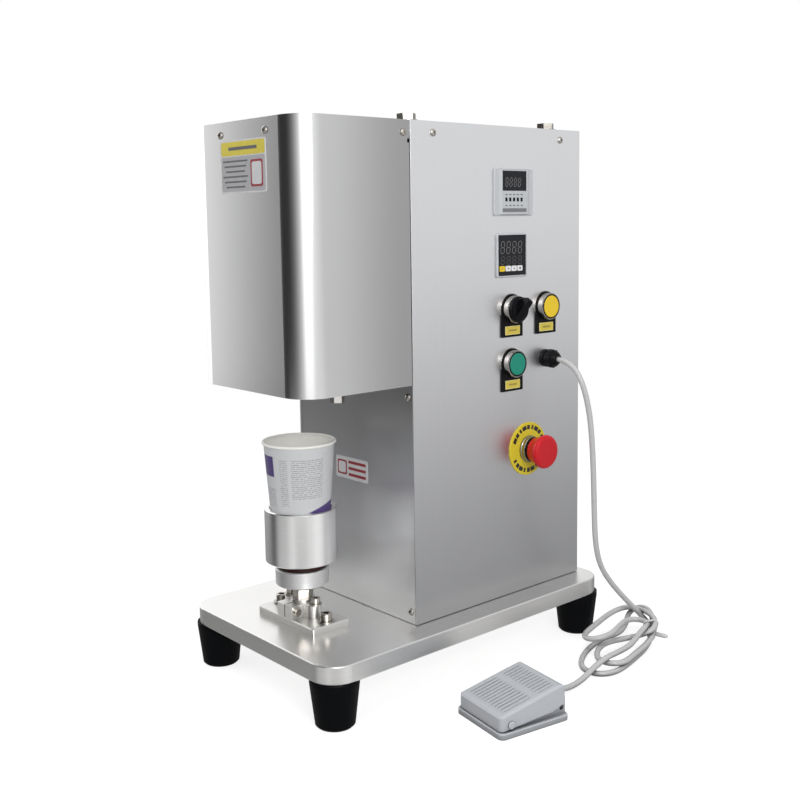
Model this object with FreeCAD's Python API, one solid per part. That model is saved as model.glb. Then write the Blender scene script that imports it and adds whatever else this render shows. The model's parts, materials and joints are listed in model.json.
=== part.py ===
"""Bench-top cup sealing machine with a heated press, a cup holder, a control panel and a foot pedal.

The floor is z = 0, the base plate is centred on x = y = 0, the front with the cup is -Y,
and the control panel is the +X side. All lengths are in millimetres.
"""
import FreeCAD, Part
import os
from math import acos, cos, hypot, pi, radians, sin, sqrt, tan

V = FreeCAD.Vector
RIGHT = V(1, 0, 0)
LEFT = V(-1, 0, 0)
FRONT = V(0, -1, 0)
BACK = V(0, 1, 0)
UP = V(0, 0, 1)
DOWN = V(0, 0, -1)

# Clearances
running_fit = 0.05
sliding_gap = 0.4
loose_gap = 0.1
seat_gap = 0.3

# Base plate and feet
base_width = 256.0
base_depth = 410.0
base_thick = 19.0
base_corner = 27.0
base_edge = 0.8
foot_height = 48.0
foot_top_radius = 25.0
foot_base_radius = 20.0
foot_rim = 4.0
foot_round = 2.0
foot_inset = 23.5
foot_recess_radius = 12.0
foot_recess_depth = 28.0

# Cabinet and head cover
sheet = 1.5
cabinet_width = 198.0
cabinet_depth = 260.0
cabinet_height = 520.0
cabinet_shift = -1.0
cabinet_front = -68.0
joint_line = 0.6
front_set_back = 0.8
tray_depth = 14.0
head_inset_left = 8.0
head_inset_right = 0.8
head_reach = 137.3
head_height = 266.0
head_corner = 29.0
head_hem = 6.0
notch_height = 4.0
notch_depth = 2.5
louvre_width = 56.0
louvre_height = 4.0
louvre_rise = 5.0
louvre_pitch = 16.0
louvre_rows = 6
louvre_columns = 2
louvre_spacing = 80.0
louvre_lowest = 380.0
inlet_x = 50.0
inlet_z = 120.0
inlet_flange = (48.0, 26.0, 3.0)
inlet_body = (27.0, 19.0, 22.0)
window_margin = 18.6
window_height = 128.0

# Inner frame
angle_leg = 25.0
angle_wall = 2.5
ring_thick = 4.0
column_inset = 24.6
column_thick = 12.0
column_height = 478.0
column_foot = 60.0
column_foot_thick = 10.0
column_rib = 8.0
column_rib_height = 150.0
column_rib_inset = 20.0

# Control gear inside the cabinet
relay_y = 95.0
relay_z = 450.0
relay_width = 45.0
relay_height = 58.0
relay_depth = 24.0
relay_fins = 9
terminal_count = 9
terminal_pitch = 12.0
terminal_length = 20.0
terminal_height = 22.0
gear_plate_y = (10.0, 150.0)
gear_plate_z = (300.0, 545.0)
gear_plate_thick = 2.0
rail_y = (15.0, 135.0)
rail_z = (352.0, 360.0)
rail_thick = 3.0
valve_y = 54.0
valve_width = 26.0

# Press
press_y = -142.0
stroke = 55.7
die_bottom = 318.0
die_height = 8.0
die_radius = 44.0
die_land = 33.0
die_relief = 3.0
heater_radius = 42.0
heater_height = 14.0
cartridge_radius = 4.0
cartridge_spacing = 34.0
plate_height = 12.0
plate_inset = 14.6
plate_depth = 68.0
plate_corner = 16.0
guide_inset = 13.2
guide_radius = 6.0
guide_top = 520.0
guide_head_drop = 8.5
guide_head_height = 7.0
guide_head_flats = 13.0
guide_nut = 6.0
shelf_bottom = 428.0
shelf_thick = 12.0
shelf_front = 44.0
bracket_height = 100.0
bracket_rib = 6.0
bracket_rib_inset = 33.0
bush_radius = 10.5
bush_flange_radius = 14.5
bush_flange = 5.0
bush_below = 14.0
cylinder_width = 66.0
cylinder_height = 112.0
cylinder_corner = 6.0
cylinder_cap = 16.0
cylinder_groove = 4.0
bore_radius = 25.0
piston_height = 14.0
rod_radius = 8.0
spigot_radius = 6.0
port_radius = 5.0
port_depth = 12.0

# Cup holder
mount_width = 99.0
mount_depth = 48.0
mount_thick = 8.3
mount_edge = 1.0
mount_screw_spacing = 80.0
support_radius = 13.0
support_height = 16.7
support_block = 13.7
support_reach = 24.0
ear_length = 54.0
ear_width = 16.0
ear_screw_spacing = 44.0
clamp_slit = 1.6
clamp_screw_reach = 19.0
clamp_screw_height = 8.0
stud_radius = 6.0
stud_height = 72.0
lock_nut_flats = 19.0
lock_nut_height = 10.0
ring_radius = 28.3
ring_bottom = 41.5
ring_height = 17.5
neck_radius = 22.0
neck_height = 23.8
seal_section = 1.8
sleeve_radius = 38.2
sleeve_bottom = 67.0
sleeve_height = 57.0
sleeve_chamfer = 0.9
sleeve_recess = 16.0
drain_radius = 6.2

# Cup
cup_height = 94.0
cup_base_radius = 30.2
cup_taper = 0.0768
cup_wall = 0.6
cup_foot = 6.0
cup_rim_section = 1.5
cup_bottom = 101.0

# Control panel: places are measured along the panel and above the floor
timer_y = 80.3
timer_z = 517.0
timer_width = 62.0
timer_height = 51.0
timer_rise = 2.0
timer_corner = 3.0
timer_front = 47.8
timer_front_rise = 3.5
timer_shoulder = 3.5
timer_window = (37.6, 21.4)
timer_window_shift = -0.7
timer_window_drop = 1.2
wheel_count = 5
wheel_pitch = 6.0
wheel_radius = 5.0
wheel_width = 3.0
wheel_slot = 4.8
wheel_drop = 31.9
wheel_shift = -1.6
wheel_axle = 0.8
wheel_facets = 10
controller_y = 77.0
controller_z = 449.0
controller_size = 48.0
controller_rise = 2.5
controller_corner = 2.5
controller_window = 44.0
pane_recess = 1.0
pane_thick = 0.8
key_shift = -1.7
key_count = 4
key_pitch = 9.3
key_width = 7.8
key_height = 5.8
key_rise = 0.9
key_depth = 2.0
key_lift = 7.6
key_travel = 0.6
instrument_cutout = 45.0
instrument_depth = 58.0
button_column_y = 77.3
second_column_y = 132.8
upper_row_z = 390.0
lower_row_z = 330.0
button_hole = 11.2
barrel_radius = 10.9
barrel_length = 28.0
base_ring_radius = 17.2
base_ring_thick = 0.8
legend_width = 33.0
legend_drop = 30.5
legend_thick = 1.2
bezel_radius = 15.1
bezel_wall = 1.4
bezel_rise = 9.8
shroud_radius = 13.5
shroud_wall = 0.9
cap_radius = 12.2
cap_rise = 10.5
cap_height = 2.4
cap_stem = 5.2
button_travel = 3.5
contact_size = 30.0
contact_depth = 36.0
contact_collar = 5.8
knob_radius = 14.3
knob_skirt = 2.6
knob_height = 24.0
knob_grip = 8.0
knob_angle = 30.0
estop_y = 103.8
estop_z = 230.4
estop_plate_radius = 30.0
estop_plate_thick = 1.5
estop_collar_radius = 15.2
estop_collar_rise = 8.3
estop_stem_radius = 13.4
estop_stem_rise = 12.0
estop_stem_length = 5.3
estop_travel = 3.7
estop_pin_radius = 6.0
estop_pin_rise = 20.0
estop_head_radius = 18.9
estop_head_rise = 30.5
gland_z = 331.0
gland_thread = 7.9
gland_hole = 8.1
gland_radius = 10.0
gland_length = 20.0
gland_mouth = 2.0
gland_tip_radius = 6.3

# Cable and foot pedal
cable_radius = 3.1
hank_upper_height = 24.0
hank_lower_height = 14.0
hank_tie_height = 32.0
pedal_x = 210.0
pedal_y = -42.0
pedal_turn = -9.5
pedal_width = 75.0
pedal_length = 84.0
pedal_lip = 6.0
pedal_corner = 6.0
pedal_wall = 2.0
treadle_inset = 2.0
treadle_side_inset = 3.0
treadle_front_height = 22.0
treadle_knee = (16.0, 33.2)
treadle_crown = (32.0, 36.2)
treadle_skirt = 6.8
treadle_corner = 4.0
treadle_side_skirt = (22.0, 11.6)
treadle_back_skirt = 17.0
tray_inset = 6.6
tray_front_height = 13.0
tray_back_height = 24.0
tray_notch = (5.0, 8.5)
pin_back = 14.0
pin_height = 11.5
pin_radius = 2.0
pin_head_radius = 3.7
pin_head = 1.2
rib_rows = ((-33.0, 0.0), (8.0, 29.0))
rib_count = 12
rib_pitch = 4.9
rib_width = 2.2
rib_rise = 0.8
treadle_slot = (8.0, 12.0, 22.0)
pedal_cable_height = 12.0
switch_size = (28.0, 12.0, 13.0)
switch_y = 14.0
switch_pin_radius = 1.6
switch_pin_height = 1.3
post_clearance = 4.1

# Fasteners
m4_head_radius = 3.9
m4_head_height = 2.3
m4_radius = 2.0
m4_length = 6.0
m5_head_radius = 4.25
m5_head_height = 5.0
m5_radius = 2.4
m6_head_radius = 5.0
m6_head_height = 6.0
m6_radius = 2.9
m8_head_radius = 6.25
m8_head_height = 8.0
m8_radius = 3.9
washer_thick = 1.6
washer_ratio = 1.38
m10_flats = 17.0
m10_head = 6.4
m10_radius = 4.9
m10_top_length = 24.0
m10_grip = 14.0
top_bolt_inset = (20.0, 13.0, 36.0)

# Places that follow from the sizes above
base_top = foot_height + base_thick
cabinet_left = cabinet_shift - cabinet_width / 2
cabinet_right = cabinet_shift + cabinet_width / 2
cabinet_back = cabinet_front + cabinet_depth
head_left = cabinet_left + head_inset_left
head_right = cabinet_right - head_inset_right
cabinet_top = base_top + cabinet_height
inner_left = cabinet_left + sheet
inner_right = cabinet_right - sheet
inner_front = cabinet_front + front_set_back + sheet
inner_back = cabinet_back - sheet
panel_bottom = base_top + joint_line
head_front = cabinet_front - head_reach
head_bottom = cabinet_top - head_height
head_width = head_right - head_left
window_width = head_width - 2 * window_margin
column_width = head_width - 2 * column_inset
column_rib_spacing = column_width - 2 * column_rib_inset
plate_width = head_width - 2 * plate_inset
guide_spacing = plate_width - 2 * guide_inset
bracket_rib_spacing = plate_width - 2 * bracket_rib_inset
heater_bottom = die_bottom + die_height
plate_bottom = heater_bottom + heater_height
plate_top = plate_bottom + plate_height
shelf_top = shelf_bottom + shelf_thick
mount_top = base_top + mount_thick
support_top = mount_top + support_height
holder_axis = V(0, press_y, 0)
press_axis = V(0, press_y, 0)
pedal_centre = V(pedal_x, pedal_y, 0)


# Plain shapes
def block(x, y, z):
    """A box between the low and high values of x, y and z."""
    return Part.makeBox(x[1] - x[0], y[1] - y[0], z[1] - z[0], V(x[0], y[0], z[0]))


def rod(radius, length, base, axis=UP):
    """A solid cylinder that starts at base and runs along axis."""
    return Part.makeCylinder(radius, length, base, axis)


def joined(shapes):
    """One solid out of several that touch or overlap."""
    whole = shapes[0].fuse(shapes[1:])
    return whole.removeSplitter()


def without(shape, tools):
    """The shape with the tools cut out of it."""
    return shape.cut(tools)


def polygon(points):
    """A closed face through a list of points."""
    return Part.Face(Part.makePolygon(list(points) + [points[0]]))


def aimed(shape, base, axis):
    """The shape, made along +Z from the origin, moved to base with its +Z along axis."""
    turned_shape = shape.copy()
    turned_shape.Placement = FreeCAD.Placement(base, FreeCAD.Rotation(UP, axis))
    return turned_shape


def turned(profile, base=V(0, 0, 0), axis=UP):
    """A lathe-turned piece from (radius, height) points, standing on base along axis."""
    face = polygon([V(r, 0, h) for r, h in profile])
    return aimed(face.revolve(V(0, 0, 0), UP, 360), base, axis)


def hexagon(flats, height, base, axis=UP):
    """A hexagonal prism with the given width across its flats."""
    corner = flats / sqrt(3)
    points = [V(corner * cos(k * pi / 3), corner * sin(k * pi / 3), 0) for k in range(6)]
    return aimed(polygon(points).extrude(V(0, 0, height)), base, axis)


def rounded_outline(width, depth, radius):
    """A rectangle about the origin with rounded corners, as a face."""
    x = width / 2 - radius
    y = depth / 2 - radius
    edges = []
    corners = [(x, -y, -90), (x, y, 0), (-x, y, 90), (-x, -y, 180)]
    for i, (cx, cy, start) in enumerate(corners):
        nx, ny, _ = corners[(i + 1) % 4]
        arc = Part.makeCircle(radius, V(cx, cy, 0), UP, start, start + 90)
        end = V(cx + radius * cos(radians(start + 90)), cy + radius * sin(radians(start + 90)), 0)
        following = V(nx + radius * cos(radians(start + 90)), ny + radius * sin(radians(start + 90)), 0)
        edges.append(arc)
        edges.append(Part.makeLine(end, following))
    return Part.Face(Part.Wire(edges))


def slab(width, depth, height, radius, base=V(0, 0, 0), axis=UP):
    """A plate with rounded corners whose bottom face is centred on base."""
    return aimed(rounded_outline(width, depth, radius).extrude(V(0, 0, height)), base, axis)


def level_edges(shape, height):
    """The edges of a shape that lie flat at one height."""
    found = []
    for edge in shape.Edges:
        box = edge.BoundBox
        if abs(box.ZMin - height) < 1e-4 and abs(box.ZMax - height) < 1e-4:
            found.append(edge)
    return found


def panel_block(y, z, width, height, depth, rise, radius):
    """A block with rounded corners on the control panel, from depth behind it to rise before it."""
    shape = slab(height, width, depth + rise, radius)
    shape.Placement = FreeCAD.Placement(V(cabinet_right - depth, y, z), FreeCAD.Rotation(UP, RIGHT))
    return shape


# Fasteners
def hex_socket(flats, depth, top, axis):
    """The hexagonal recess in the top of a screw head."""
    return hexagon(flats, depth, top - axis * depth, axis)


def cap_screw(seat, axis, head_radius, head_height, shank_radius, length):
    """A socket head cap screw whose head stands on seat and whose shank runs the other way."""
    edge = head_height * 0.1
    profile = [(0, -length), (shank_radius, -length), (shank_radius, 0), (head_radius, 0),
               (head_radius, head_height - edge), (head_radius - edge, head_height), (0, head_height)]
    screw = turned(profile, seat, axis)
    return without(screw, [hex_socket(head_radius, head_height / 2, seat + axis * head_height, axis)])


def button_screw(seat, axis):
    """A low domed M4 screw on a panel."""
    r = m4_head_radius
    h = m4_head_height
    profile = [(0, -m4_length), (m4_radius, -m4_length), (m4_radius, 0), (r, 0),
               (r * 0.93, h * 0.45), (r * 0.7, h * 0.83), (r * 0.4, h), (0, h)]
    screw = turned(profile, seat, axis)
    return without(screw, [hex_socket(r * 0.62, h * 0.7, seat + axis * h, axis)])


def washer(seat, axis, head_radius, hole_radius):
    """A flat washer that lies on seat under a screw head."""
    outer = head_radius * washer_ratio
    profile = [(hole_radius, 0), (outer, 0), (outer, washer_thick), (hole_radius, washer_thick)]
    return turned(profile, seat, axis)


def hex_bolt(seat, axis, length):
    """An M10 hexagon head bolt whose head stands on seat."""
    head = hexagon(m10_flats, m10_head, seat, axis)
    return joined([head, rod(m10_radius, length + 1, seat - axis * length, axis)])


# Base plate and feet
def foot_places():
    """The four foot centres."""
    x = base_width / 2 - foot_inset
    y = base_depth / 2 - foot_inset
    return [V(sx * x, sy * y, 0) for sy in (-1, 1) for sx in (-1, 1)]


def mount_screw_places():
    """The two screws that hold the cup holder's mounting plate."""
    return [holder_axis + V(s * mount_screw_spacing / 2, 0, 0) for s in (-1, 1)]


def base_plate():
    plate = slab(base_width, base_depth, base_thick, base_corner, V(0, 0, foot_height))
    edges = level_edges(plate, foot_height) + level_edges(plate, base_top)
    plate = plate.makeChamfer(base_edge, edges)
    holes = [rod(m10_radius + loose_gap, m10_grip + 1, V(p.x, p.y, foot_height)) for p in foot_places()]
    for place in mount_screw_places():
        holes.append(rod(m8_radius + loose_gap, base_thick, V(place.x, place.y, foot_height + 2)))
    return without(plate, holes)


def rubber_feet():
    hole = m10_radius + loose_gap
    profile = [(hole, foot_height), (foot_top_radius, foot_height),
               (foot_top_radius, foot_height - foot_rim), (foot_base_radius, foot_round),
               (foot_base_radius - foot_round, 0), (foot_recess_radius, 0),
               (foot_recess_radius, foot_recess_depth), (hole, foot_recess_depth)]
    return [turned(profile, place) for place in foot_places()]


def top_bolt_places():
    """The hexagon bolts on the roof, one near each corner of the cabinet."""
    side, front, back = top_bolt_inset
    places = []
    for y in (cabinet_front + front, cabinet_back - back):
        for x in (cabinet_left + side, cabinet_right - side):
            places.append(V(x, y, cabinet_top))
    return places


def hex_bolts():
    shapes = []
    for place in foot_places():
        length = foot_height - foot_recess_depth + m10_grip
        shapes.append(hex_bolt(V(place.x, place.y, foot_recess_depth), DOWN, length))
    for place in top_bolt_places():
        shapes.append(washer(place, UP, m10_flats / 2, m10_radius + loose_gap))
        shapes.append(hex_bolt(place + UP * washer_thick, UP, m10_top_length))
    return shapes


# Cabinet panels
def side_screw_places():
    """Button head screws near the top of each side panel."""
    z = cabinet_top - 11.5
    return [(31.0, z), (cabinet_depth - 34.0, z)]


def front_screw_places():
    """Button head screws near the edges of the front panel."""
    x = cabinet_width / 2 - 9.0
    return [(cabinet_shift + s * x, z) for z in (base_top + 13.0, head_bottom - 13.0) for s in (-1, 1)]


def back_screw_places():
    """Button head screws at the corners of the back panel."""
    x = cabinet_width / 2 - 9.0
    return [(cabinet_shift + s * x, z) for z in (base_top + 13.0, cabinet_top - 21.0) for s in (-1, 1)]


def cover_screw_places():
    """Screws that hold the head cover to the roof tray: two in front and one at each side."""
    z = cabinet_top - 12.5
    middle = (head_left + head_right) / 2
    places = [(V(middle + dx, head_front, z), FRONT) for dx in (-34.5, 44.0)]
    places.append((V(head_right, cabinet_front - 8.3, z), RIGHT))
    places.append((V(head_left, cabinet_front - 8.3, z), LEFT))
    return places


def screw_places():
    """Every panel screw as its seat and the direction that its head faces."""
    places = list(cover_screw_places())
    for back, z in side_screw_places():
        places.append((V(cabinet_right, cabinet_front + back, z), RIGHT))
        places.append((V(cabinet_left, cabinet_front + back, z), LEFT))
    places += [(V(x, cabinet_front + front_set_back, z), FRONT) for x, z in front_screw_places()]
    places += [(V(x, cabinet_back, z), BACK) for x, z in back_screw_places()]
    return places


def screw_holes():
    """Clearance holes for every panel screw."""
    r = m4_radius + loose_gap
    return [rod(r, m4_length + 1, seat - axis * m4_length, axis) for seat, axis in screw_places()]


def front_panel():
    y = (cabinet_front + front_set_back, inner_front)
    panel = block((inner_left, inner_right), y, (panel_bottom, cabinet_top - tray_depth))
    half = window_width / 2
    low = shelf_bottom - 14.0
    window = block((-half, half), (y[0] - 1, y[1] + 1), (low, low + window_height))
    return without(panel, [window] + screw_holes())


def panel_cutouts():
    """Holes in the control panel for the instruments, buttons and cable gland."""
    half = instrument_cutout / 2 + loose_gap
    x = (cabinet_right - sheet - 1, cabinet_right + 1)
    cuts = []
    for y, z in ((timer_y, timer_z), (controller_y, controller_z)):
        cuts.append(block(x, (y - half, y + half), (z - half, z + half)))
    for y, z in button_places() + [(estop_y, estop_z)]:
        cuts.append(rod(button_hole, sheet + 2, V(x[0], y, z), RIGHT))
    cuts.append(rod(gland_hole, sheet + 2, V(x[0], second_column_y, gland_z), RIGHT))
    return cuts


def right_side_panel():
    panel = block((inner_right, cabinet_right), (cabinet_front, cabinet_back), (panel_bottom, cabinet_top))
    return without(panel, panel_cutouts() + screw_holes())


def left_side_panel():
    panel = block((cabinet_left, inner_left), (cabinet_front, cabinet_back), (panel_bottom, cabinet_top))
    return without(panel, screw_holes())


def louvre_places():
    """Centres of the ventilation louvres on the back panel."""
    first = -(louvre_columns - 1) / 2 * louvre_spacing
    places = []
    for column in range(louvre_columns):
        for row in range(louvre_rows):
            x = cabinet_shift + first + column * louvre_spacing
            places.append((x, louvre_lowest + row * louvre_pitch))
    return places


def louvre_hood(x, z):
    """A pressed hood over one slot, open below."""
    half = louvre_width / 2
    y = cabinet_back
    rise = louvre_rise
    outer = [V(x - half, y, z - 1), V(x - half, y + rise, z - 1), V(x - half, y + rise, z + 1),
             V(x - half, y, z + louvre_height + rise)]
    hood = polygon(outer).extrude(V(louvre_width, 0, 0))
    inner = [V(x - half + 1, y - 1, z - 2), V(x - half + 1, y + rise - 1, z - 2),
             V(x - half + 1, y + rise - 1, z + 0.6), V(x - half + 1, y - 1, z + louvre_height + rise - 0.5)]
    return without(hood, [polygon(inner).extrude(V(louvre_width - 2, 0, 0))])


def back_panel():
    top = cabinet_top - tray_depth
    panel = block((inner_left, inner_right), (inner_back, cabinet_back), (panel_bottom, top))
    half = louvre_width / 2 - 1
    slots = [block((x - half, x + half), (inner_back - 1, cabinet_back + 1), (z - 0.5, z + louvre_height))
             for x, z in louvre_places()]
    width = inlet_body[0] / 2 + 0.5
    height = inlet_body[1] / 2 + 0.5
    inlet = block((inlet_x - width, inlet_x + width), (inner_back - 1, cabinet_back + 1),
                  (inlet_z - height, inlet_z + height))
    panel = without(panel, slots + [inlet] + screw_holes())
    return joined([panel] + [louvre_hood(x, z) for x, z in louvre_places()])


def head_outline(inset):
    """The head's plan: two sides and a front with rounded corners, offset inwards by inset."""
    left = head_left + inset
    right = head_right - inset
    front = head_front + inset
    r = head_corner - inset
    back = cabinet_front - joint_line
    points = [V(left, back, 0), V(left, front + r, 0), V(left + r, front, 0), V(right - r, front, 0),
              V(right, front + r, 0), V(right, back, 0)]
    diagonal = r * (1 - sqrt(0.5))
    corner_left = Part.Arc(points[1], V(left + diagonal, front + diagonal, 0), points[2]).toShape()
    corner_right = Part.Arc(points[3], V(right - diagonal, front + diagonal, 0), points[4]).toShape()
    edges = [Part.makeLine(points[0], points[1]), corner_left, Part.makeLine(points[2], points[3]),
             corner_right, Part.makeLine(points[4], points[5]), Part.makeLine(points[5], points[0])]
    return Part.Face(Part.Wire(edges))


def head_prism(inset, low, high, reach_back=0.0):
    """The head's plan as a solid between two heights, carried back by reach_back."""
    solid = head_outline(inset).extrude(V(0, 0, high - low))
    solid.translate(V(0, 0, low))
    if reach_back:
        y = cabinet_front - joint_line
        width = (head_left + inset, head_right - inset)
        solid = joined([solid, block(width, (y, y + reach_back), (low, high))])
    return solid


def head_cover():
    outer = head_prism(0, head_bottom, cabinet_top)
    hollow = head_prism(sheet, head_bottom + sheet, cabinet_top + 1, 1.0)
    mouth = head_prism(sheet + head_hem, head_bottom - 1, head_bottom + 2 * sheet, 1.0)
    back = cabinet_front - joint_line
    notch_z = cabinet_top - 20.5
    notch = block((head_right - 5, head_right + 1), (back - notch_depth, back + 1),
                  (notch_z - notch_height / 2, notch_z + notch_height / 2))
    return without(outer, [hollow, mouth, notch] + screw_holes())


def roof_tray():
    """The roof: a tray over cabinet and head, with its rim turned down inside the walls."""
    low = cabinet_top - tray_depth
    cabin = block((inner_left, inner_right), (cabinet_front, inner_back), (low, cabinet_top))
    head = head_prism(sheet, low, cabinet_top, joint_line)
    outer = joined([cabin, head])
    under = cabinet_top - sheet
    cabin_hollow = block((inner_left + sheet, inner_right - sheet),
                         (cabinet_front + sheet, inner_back - sheet), (low - 1, under))
    head_hollow = head_prism(2 * sheet, low - 1, under, joint_line + 2 * sheet)
    bolts = [rod(m10_radius + loose_gap, 3 * sheet, V(p.x, p.y, cabinet_top - 2 * sheet))
             for p in top_bolt_places()]
    return without(outer, [cabin_hollow, head_hollow] + bolts + screw_holes())


# Inner frame
def frame_ring(low):
    """A flat ring that joins the four corner angles."""
    width = inner_right - inner_left - 2 * sheet
    depth = inner_back - sheet - inner_front
    centre = V(cabinet_shift, inner_front + depth / 2, low)
    outer = block((centre.x - width / 2, centre.x + width / 2), (inner_front, inner_front + depth),
                  (low, low + ring_thick))
    inner = slab(width - 2 * angle_leg, depth - 2 * angle_leg, 3 * ring_thick, 6.0, centre - UP * ring_thick)
    return without(outer, [inner])


def corner_angle(x, y, side, back, low, high):
    """An L-shaped upright in one corner of the cabinet, its legs running along side and back."""
    points = [(0, 0), (angle_leg, 0), (angle_leg, angle_wall), (angle_wall, angle_wall),
              (angle_wall, angle_leg), (0, angle_leg)]
    face = polygon([V(x + side * a, y + back * b, low) for a, b in points])
    return face.extrude(V(0, 0, high - low))


def press_column(low):
    """The plate that carries the press, with a foot and two ribs behind it."""
    half = column_width / 2
    top = base_top + column_height
    column_back = inner_front + column_thick
    foot_z = low + column_foot_thick
    pieces = [block((-half, half), (inner_front, column_back), (low, top)),
              block((-half, half), (column_back - 1, column_back + column_foot), (low, foot_z))]
    for s in (-1, 1):
        x = s * column_rib_spacing / 2 - column_rib / 2
        rib_back = column_back + column_foot - 2
        rib = polygon([V(x, column_back - 1, foot_z - 1), V(x, rib_back, foot_z - 1),
                       V(x, rib_back, foot_z + 4), V(x, column_back - 1, low + column_rib_height)])
        pieces.append(rib.extrude(V(column_rib, 0, 0)))
    return joined(pieces)


def inner_frame():
    """Corner angles between two rings, and the press column; the pieces are welded together."""
    low = base_top + ring_thick
    high = cabinet_top - sheet - 0.5
    under = high - ring_thick
    solids = [frame_ring(base_top), frame_ring(under), press_column(low)]
    for x, side in ((inner_left + sheet, 1), (inner_right - sheet, -1)):
        for y, back in ((inner_front, 1), (inner_back - sheet, -1)):
            solids.append(corner_angle(x, y, side, back, low, under))
    bolts = [rod(m10_radius + loose_gap, 2 * ring_thick, V(p.x, p.y, under - 1)) for p in top_bolt_places()]
    return [without(solid, bolts + screw_holes()) for solid in solids]


def control_gear():
    """What stands inside the cabinet: mounting plate, solid state relay, terminal strip and air valve."""
    x = inner_left + gear_plate_thick
    plate = block((inner_left, x), gear_plate_y, gear_plate_z)
    fins_x = x + relay_depth
    relay = block((x, fins_x + 2), (relay_y, relay_y + relay_width), (relay_z, relay_z + relay_height))
    for k in range(relay_fins):
        y = relay_y + k * (relay_width - 2) / (relay_fins - 1)
        fin = block((fins_x, fins_x + relay_depth), (y, y + 2), (relay_z, relay_z + relay_height))
        relay = relay.fuse(fin)
    rail = block((x, x + rail_thick), rail_y, rail_z)
    terminals = []
    for k in range(terminal_count):
        y = rail_y[0] + 5 + terminal_pitch * k
        terminals.append(block((x, x + terminal_length), (y, y + terminal_pitch - 1),
                               (rail_z[0] - terminal_height, rail_z[0])))
    valve_low = relay_z + 6
    body = block((x, x + valve_width), (valve_y - 24, valve_y + 24), (valve_low, valve_low + valve_width))
    coil = slab(24, 24, 40, 3, V(x + valve_width / 2, valve_y, valve_low + valve_width))
    fittings = [rod(5.0, 13, V(x + valve_width / 2, valve_y + s * 14, valve_low - 12)) for s in (-1, 1)]
    return [plate, relay.removeSplitter(), rail, joined([body, coil] + fittings)] + terminals


# Press
def guide_places():
    """The two guide rod axes."""
    return [press_axis + V(s * guide_spacing / 2, 0, 0) for s in (-1, 1)]


def cylinder_bracket():
    y0 = press_y - shelf_front
    y1 = inner_front
    flange_front = y1 - shelf_thick
    half = plate_width / 2
    shelf = block((-half, half), (y0, flange_front), (shelf_bottom, shelf_top))
    narrow = window_width / 2 - 3
    flange = block((-narrow, narrow), (flange_front, y1), (shelf_bottom, shelf_bottom + bracket_height))
    pieces = [shelf, flange]
    for s in (-1, 1):
        x = s * bracket_rib_spacing / 2 - bracket_rib / 2
        rib = polygon([V(x, flange_front, shelf_top), V(x, flange_front - 55, shelf_top),
                       V(x, flange_front, shelf_bottom + bracket_height - 8)])
        pieces.append(rib.extrude(V(bracket_rib, 0, 0)))
    holes = [rod(bush_radius + loose_gap, 3 * shelf_thick, V(p.x, p.y, shelf_bottom - shelf_thick))
             for p in guide_places()]
    holes.append(rod(rod_radius + 2, 3 * shelf_thick, V(0, press_y, shelf_bottom - shelf_thick)))
    return without(joined(pieces), holes)


def guide_bushes():
    bore = guide_radius + running_fit
    low = shelf_bottom - bush_below
    profile = [(bore, low), (bush_radius, low), (bush_radius, shelf_top), (bush_flange_radius, shelf_top),
               (bush_flange_radius, shelf_top + bush_flange), (bore, shelf_top + bush_flange)]
    return [turned(profile, place) for place in guide_places()]


def air_cylinder():
    """A compact air cylinder: square body with a bore, a rod gland below and two air ports behind."""
    body = slab(cylinder_width, cylinder_width, cylinder_height, cylinder_corner, V(0, press_y, shelf_top))
    bore = rod(bore_radius, cylinder_height - 2 * cylinder_cap + 4, V(0, press_y, shelf_top + cylinder_cap))
    gland = rod(rod_radius + running_fit, cylinder_cap + 2, V(0, press_y, shelf_top - 1))
    cuts = [bore, gland]
    half = cylinder_width / 2
    for sx in (-1, 1):
        for z in (shelf_top + cylinder_cap, ):
            for y in (press_y - 14, press_y + 14):
                cuts.append(rod(cylinder_groove, cylinder_height - 2 * cylinder_cap, V(sx * half, y, z)))
    for z in (shelf_top + cylinder_cap / 2, shelf_top + cylinder_height - cylinder_cap / 2):
        cuts.append(rod(port_radius, port_depth, V(0, press_y + half - port_depth, z), BACK))
    return without(body, cuts)


def piston_rod():
    piston_bottom = shelf_top + cylinder_height - cylinder_cap + 2 - piston_height
    r = bore_radius - running_fit
    profile = [(0, plate_bottom), (spigot_radius, plate_bottom), (spigot_radius, plate_top),
               (rod_radius, plate_top),
               (rod_radius, piston_bottom), (r, piston_bottom), (r, piston_bottom + piston_height),
               (0, piston_bottom + piston_height)]
    return turned(profile, press_axis)


def press_plate():
    plate = slab(plate_width, plate_depth, plate_height, plate_corner, V(0, press_y, plate_bottom))
    holes = [rod(guide_radius + loose_gap, 2 * plate_height, V(p.x, p.y, plate_bottom - 1))
             for p in guide_places()]
    holes.append(rod(spigot_radius + loose_gap, 2 * plate_height, V(0, press_y, plate_bottom - 1)))
    return without(plate, holes)


def guide_rods():
    """Polished guide rods with a hexagon head, each held in the press plate by a nut on either side."""
    head = die_bottom - guide_head_drop
    shapes = []
    for place in guide_places():
        shank = rod(guide_radius, guide_top - head - 1, V(place.x, place.y, head + 1))
        end = hexagon(guide_head_flats, guide_head_height, V(place.x, place.y, head))
        shapes.append(joined([end, shank]))
        for z in (plate_bottom - guide_nut, plate_top):
            nut = hexagon(guide_head_flats + 4, guide_nut, V(place.x, place.y, z))
            shapes.append(without(nut, [rod(guide_radius + loose_gap, guide_nut, V(place.x, place.y, z))]))
    return shapes


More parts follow.
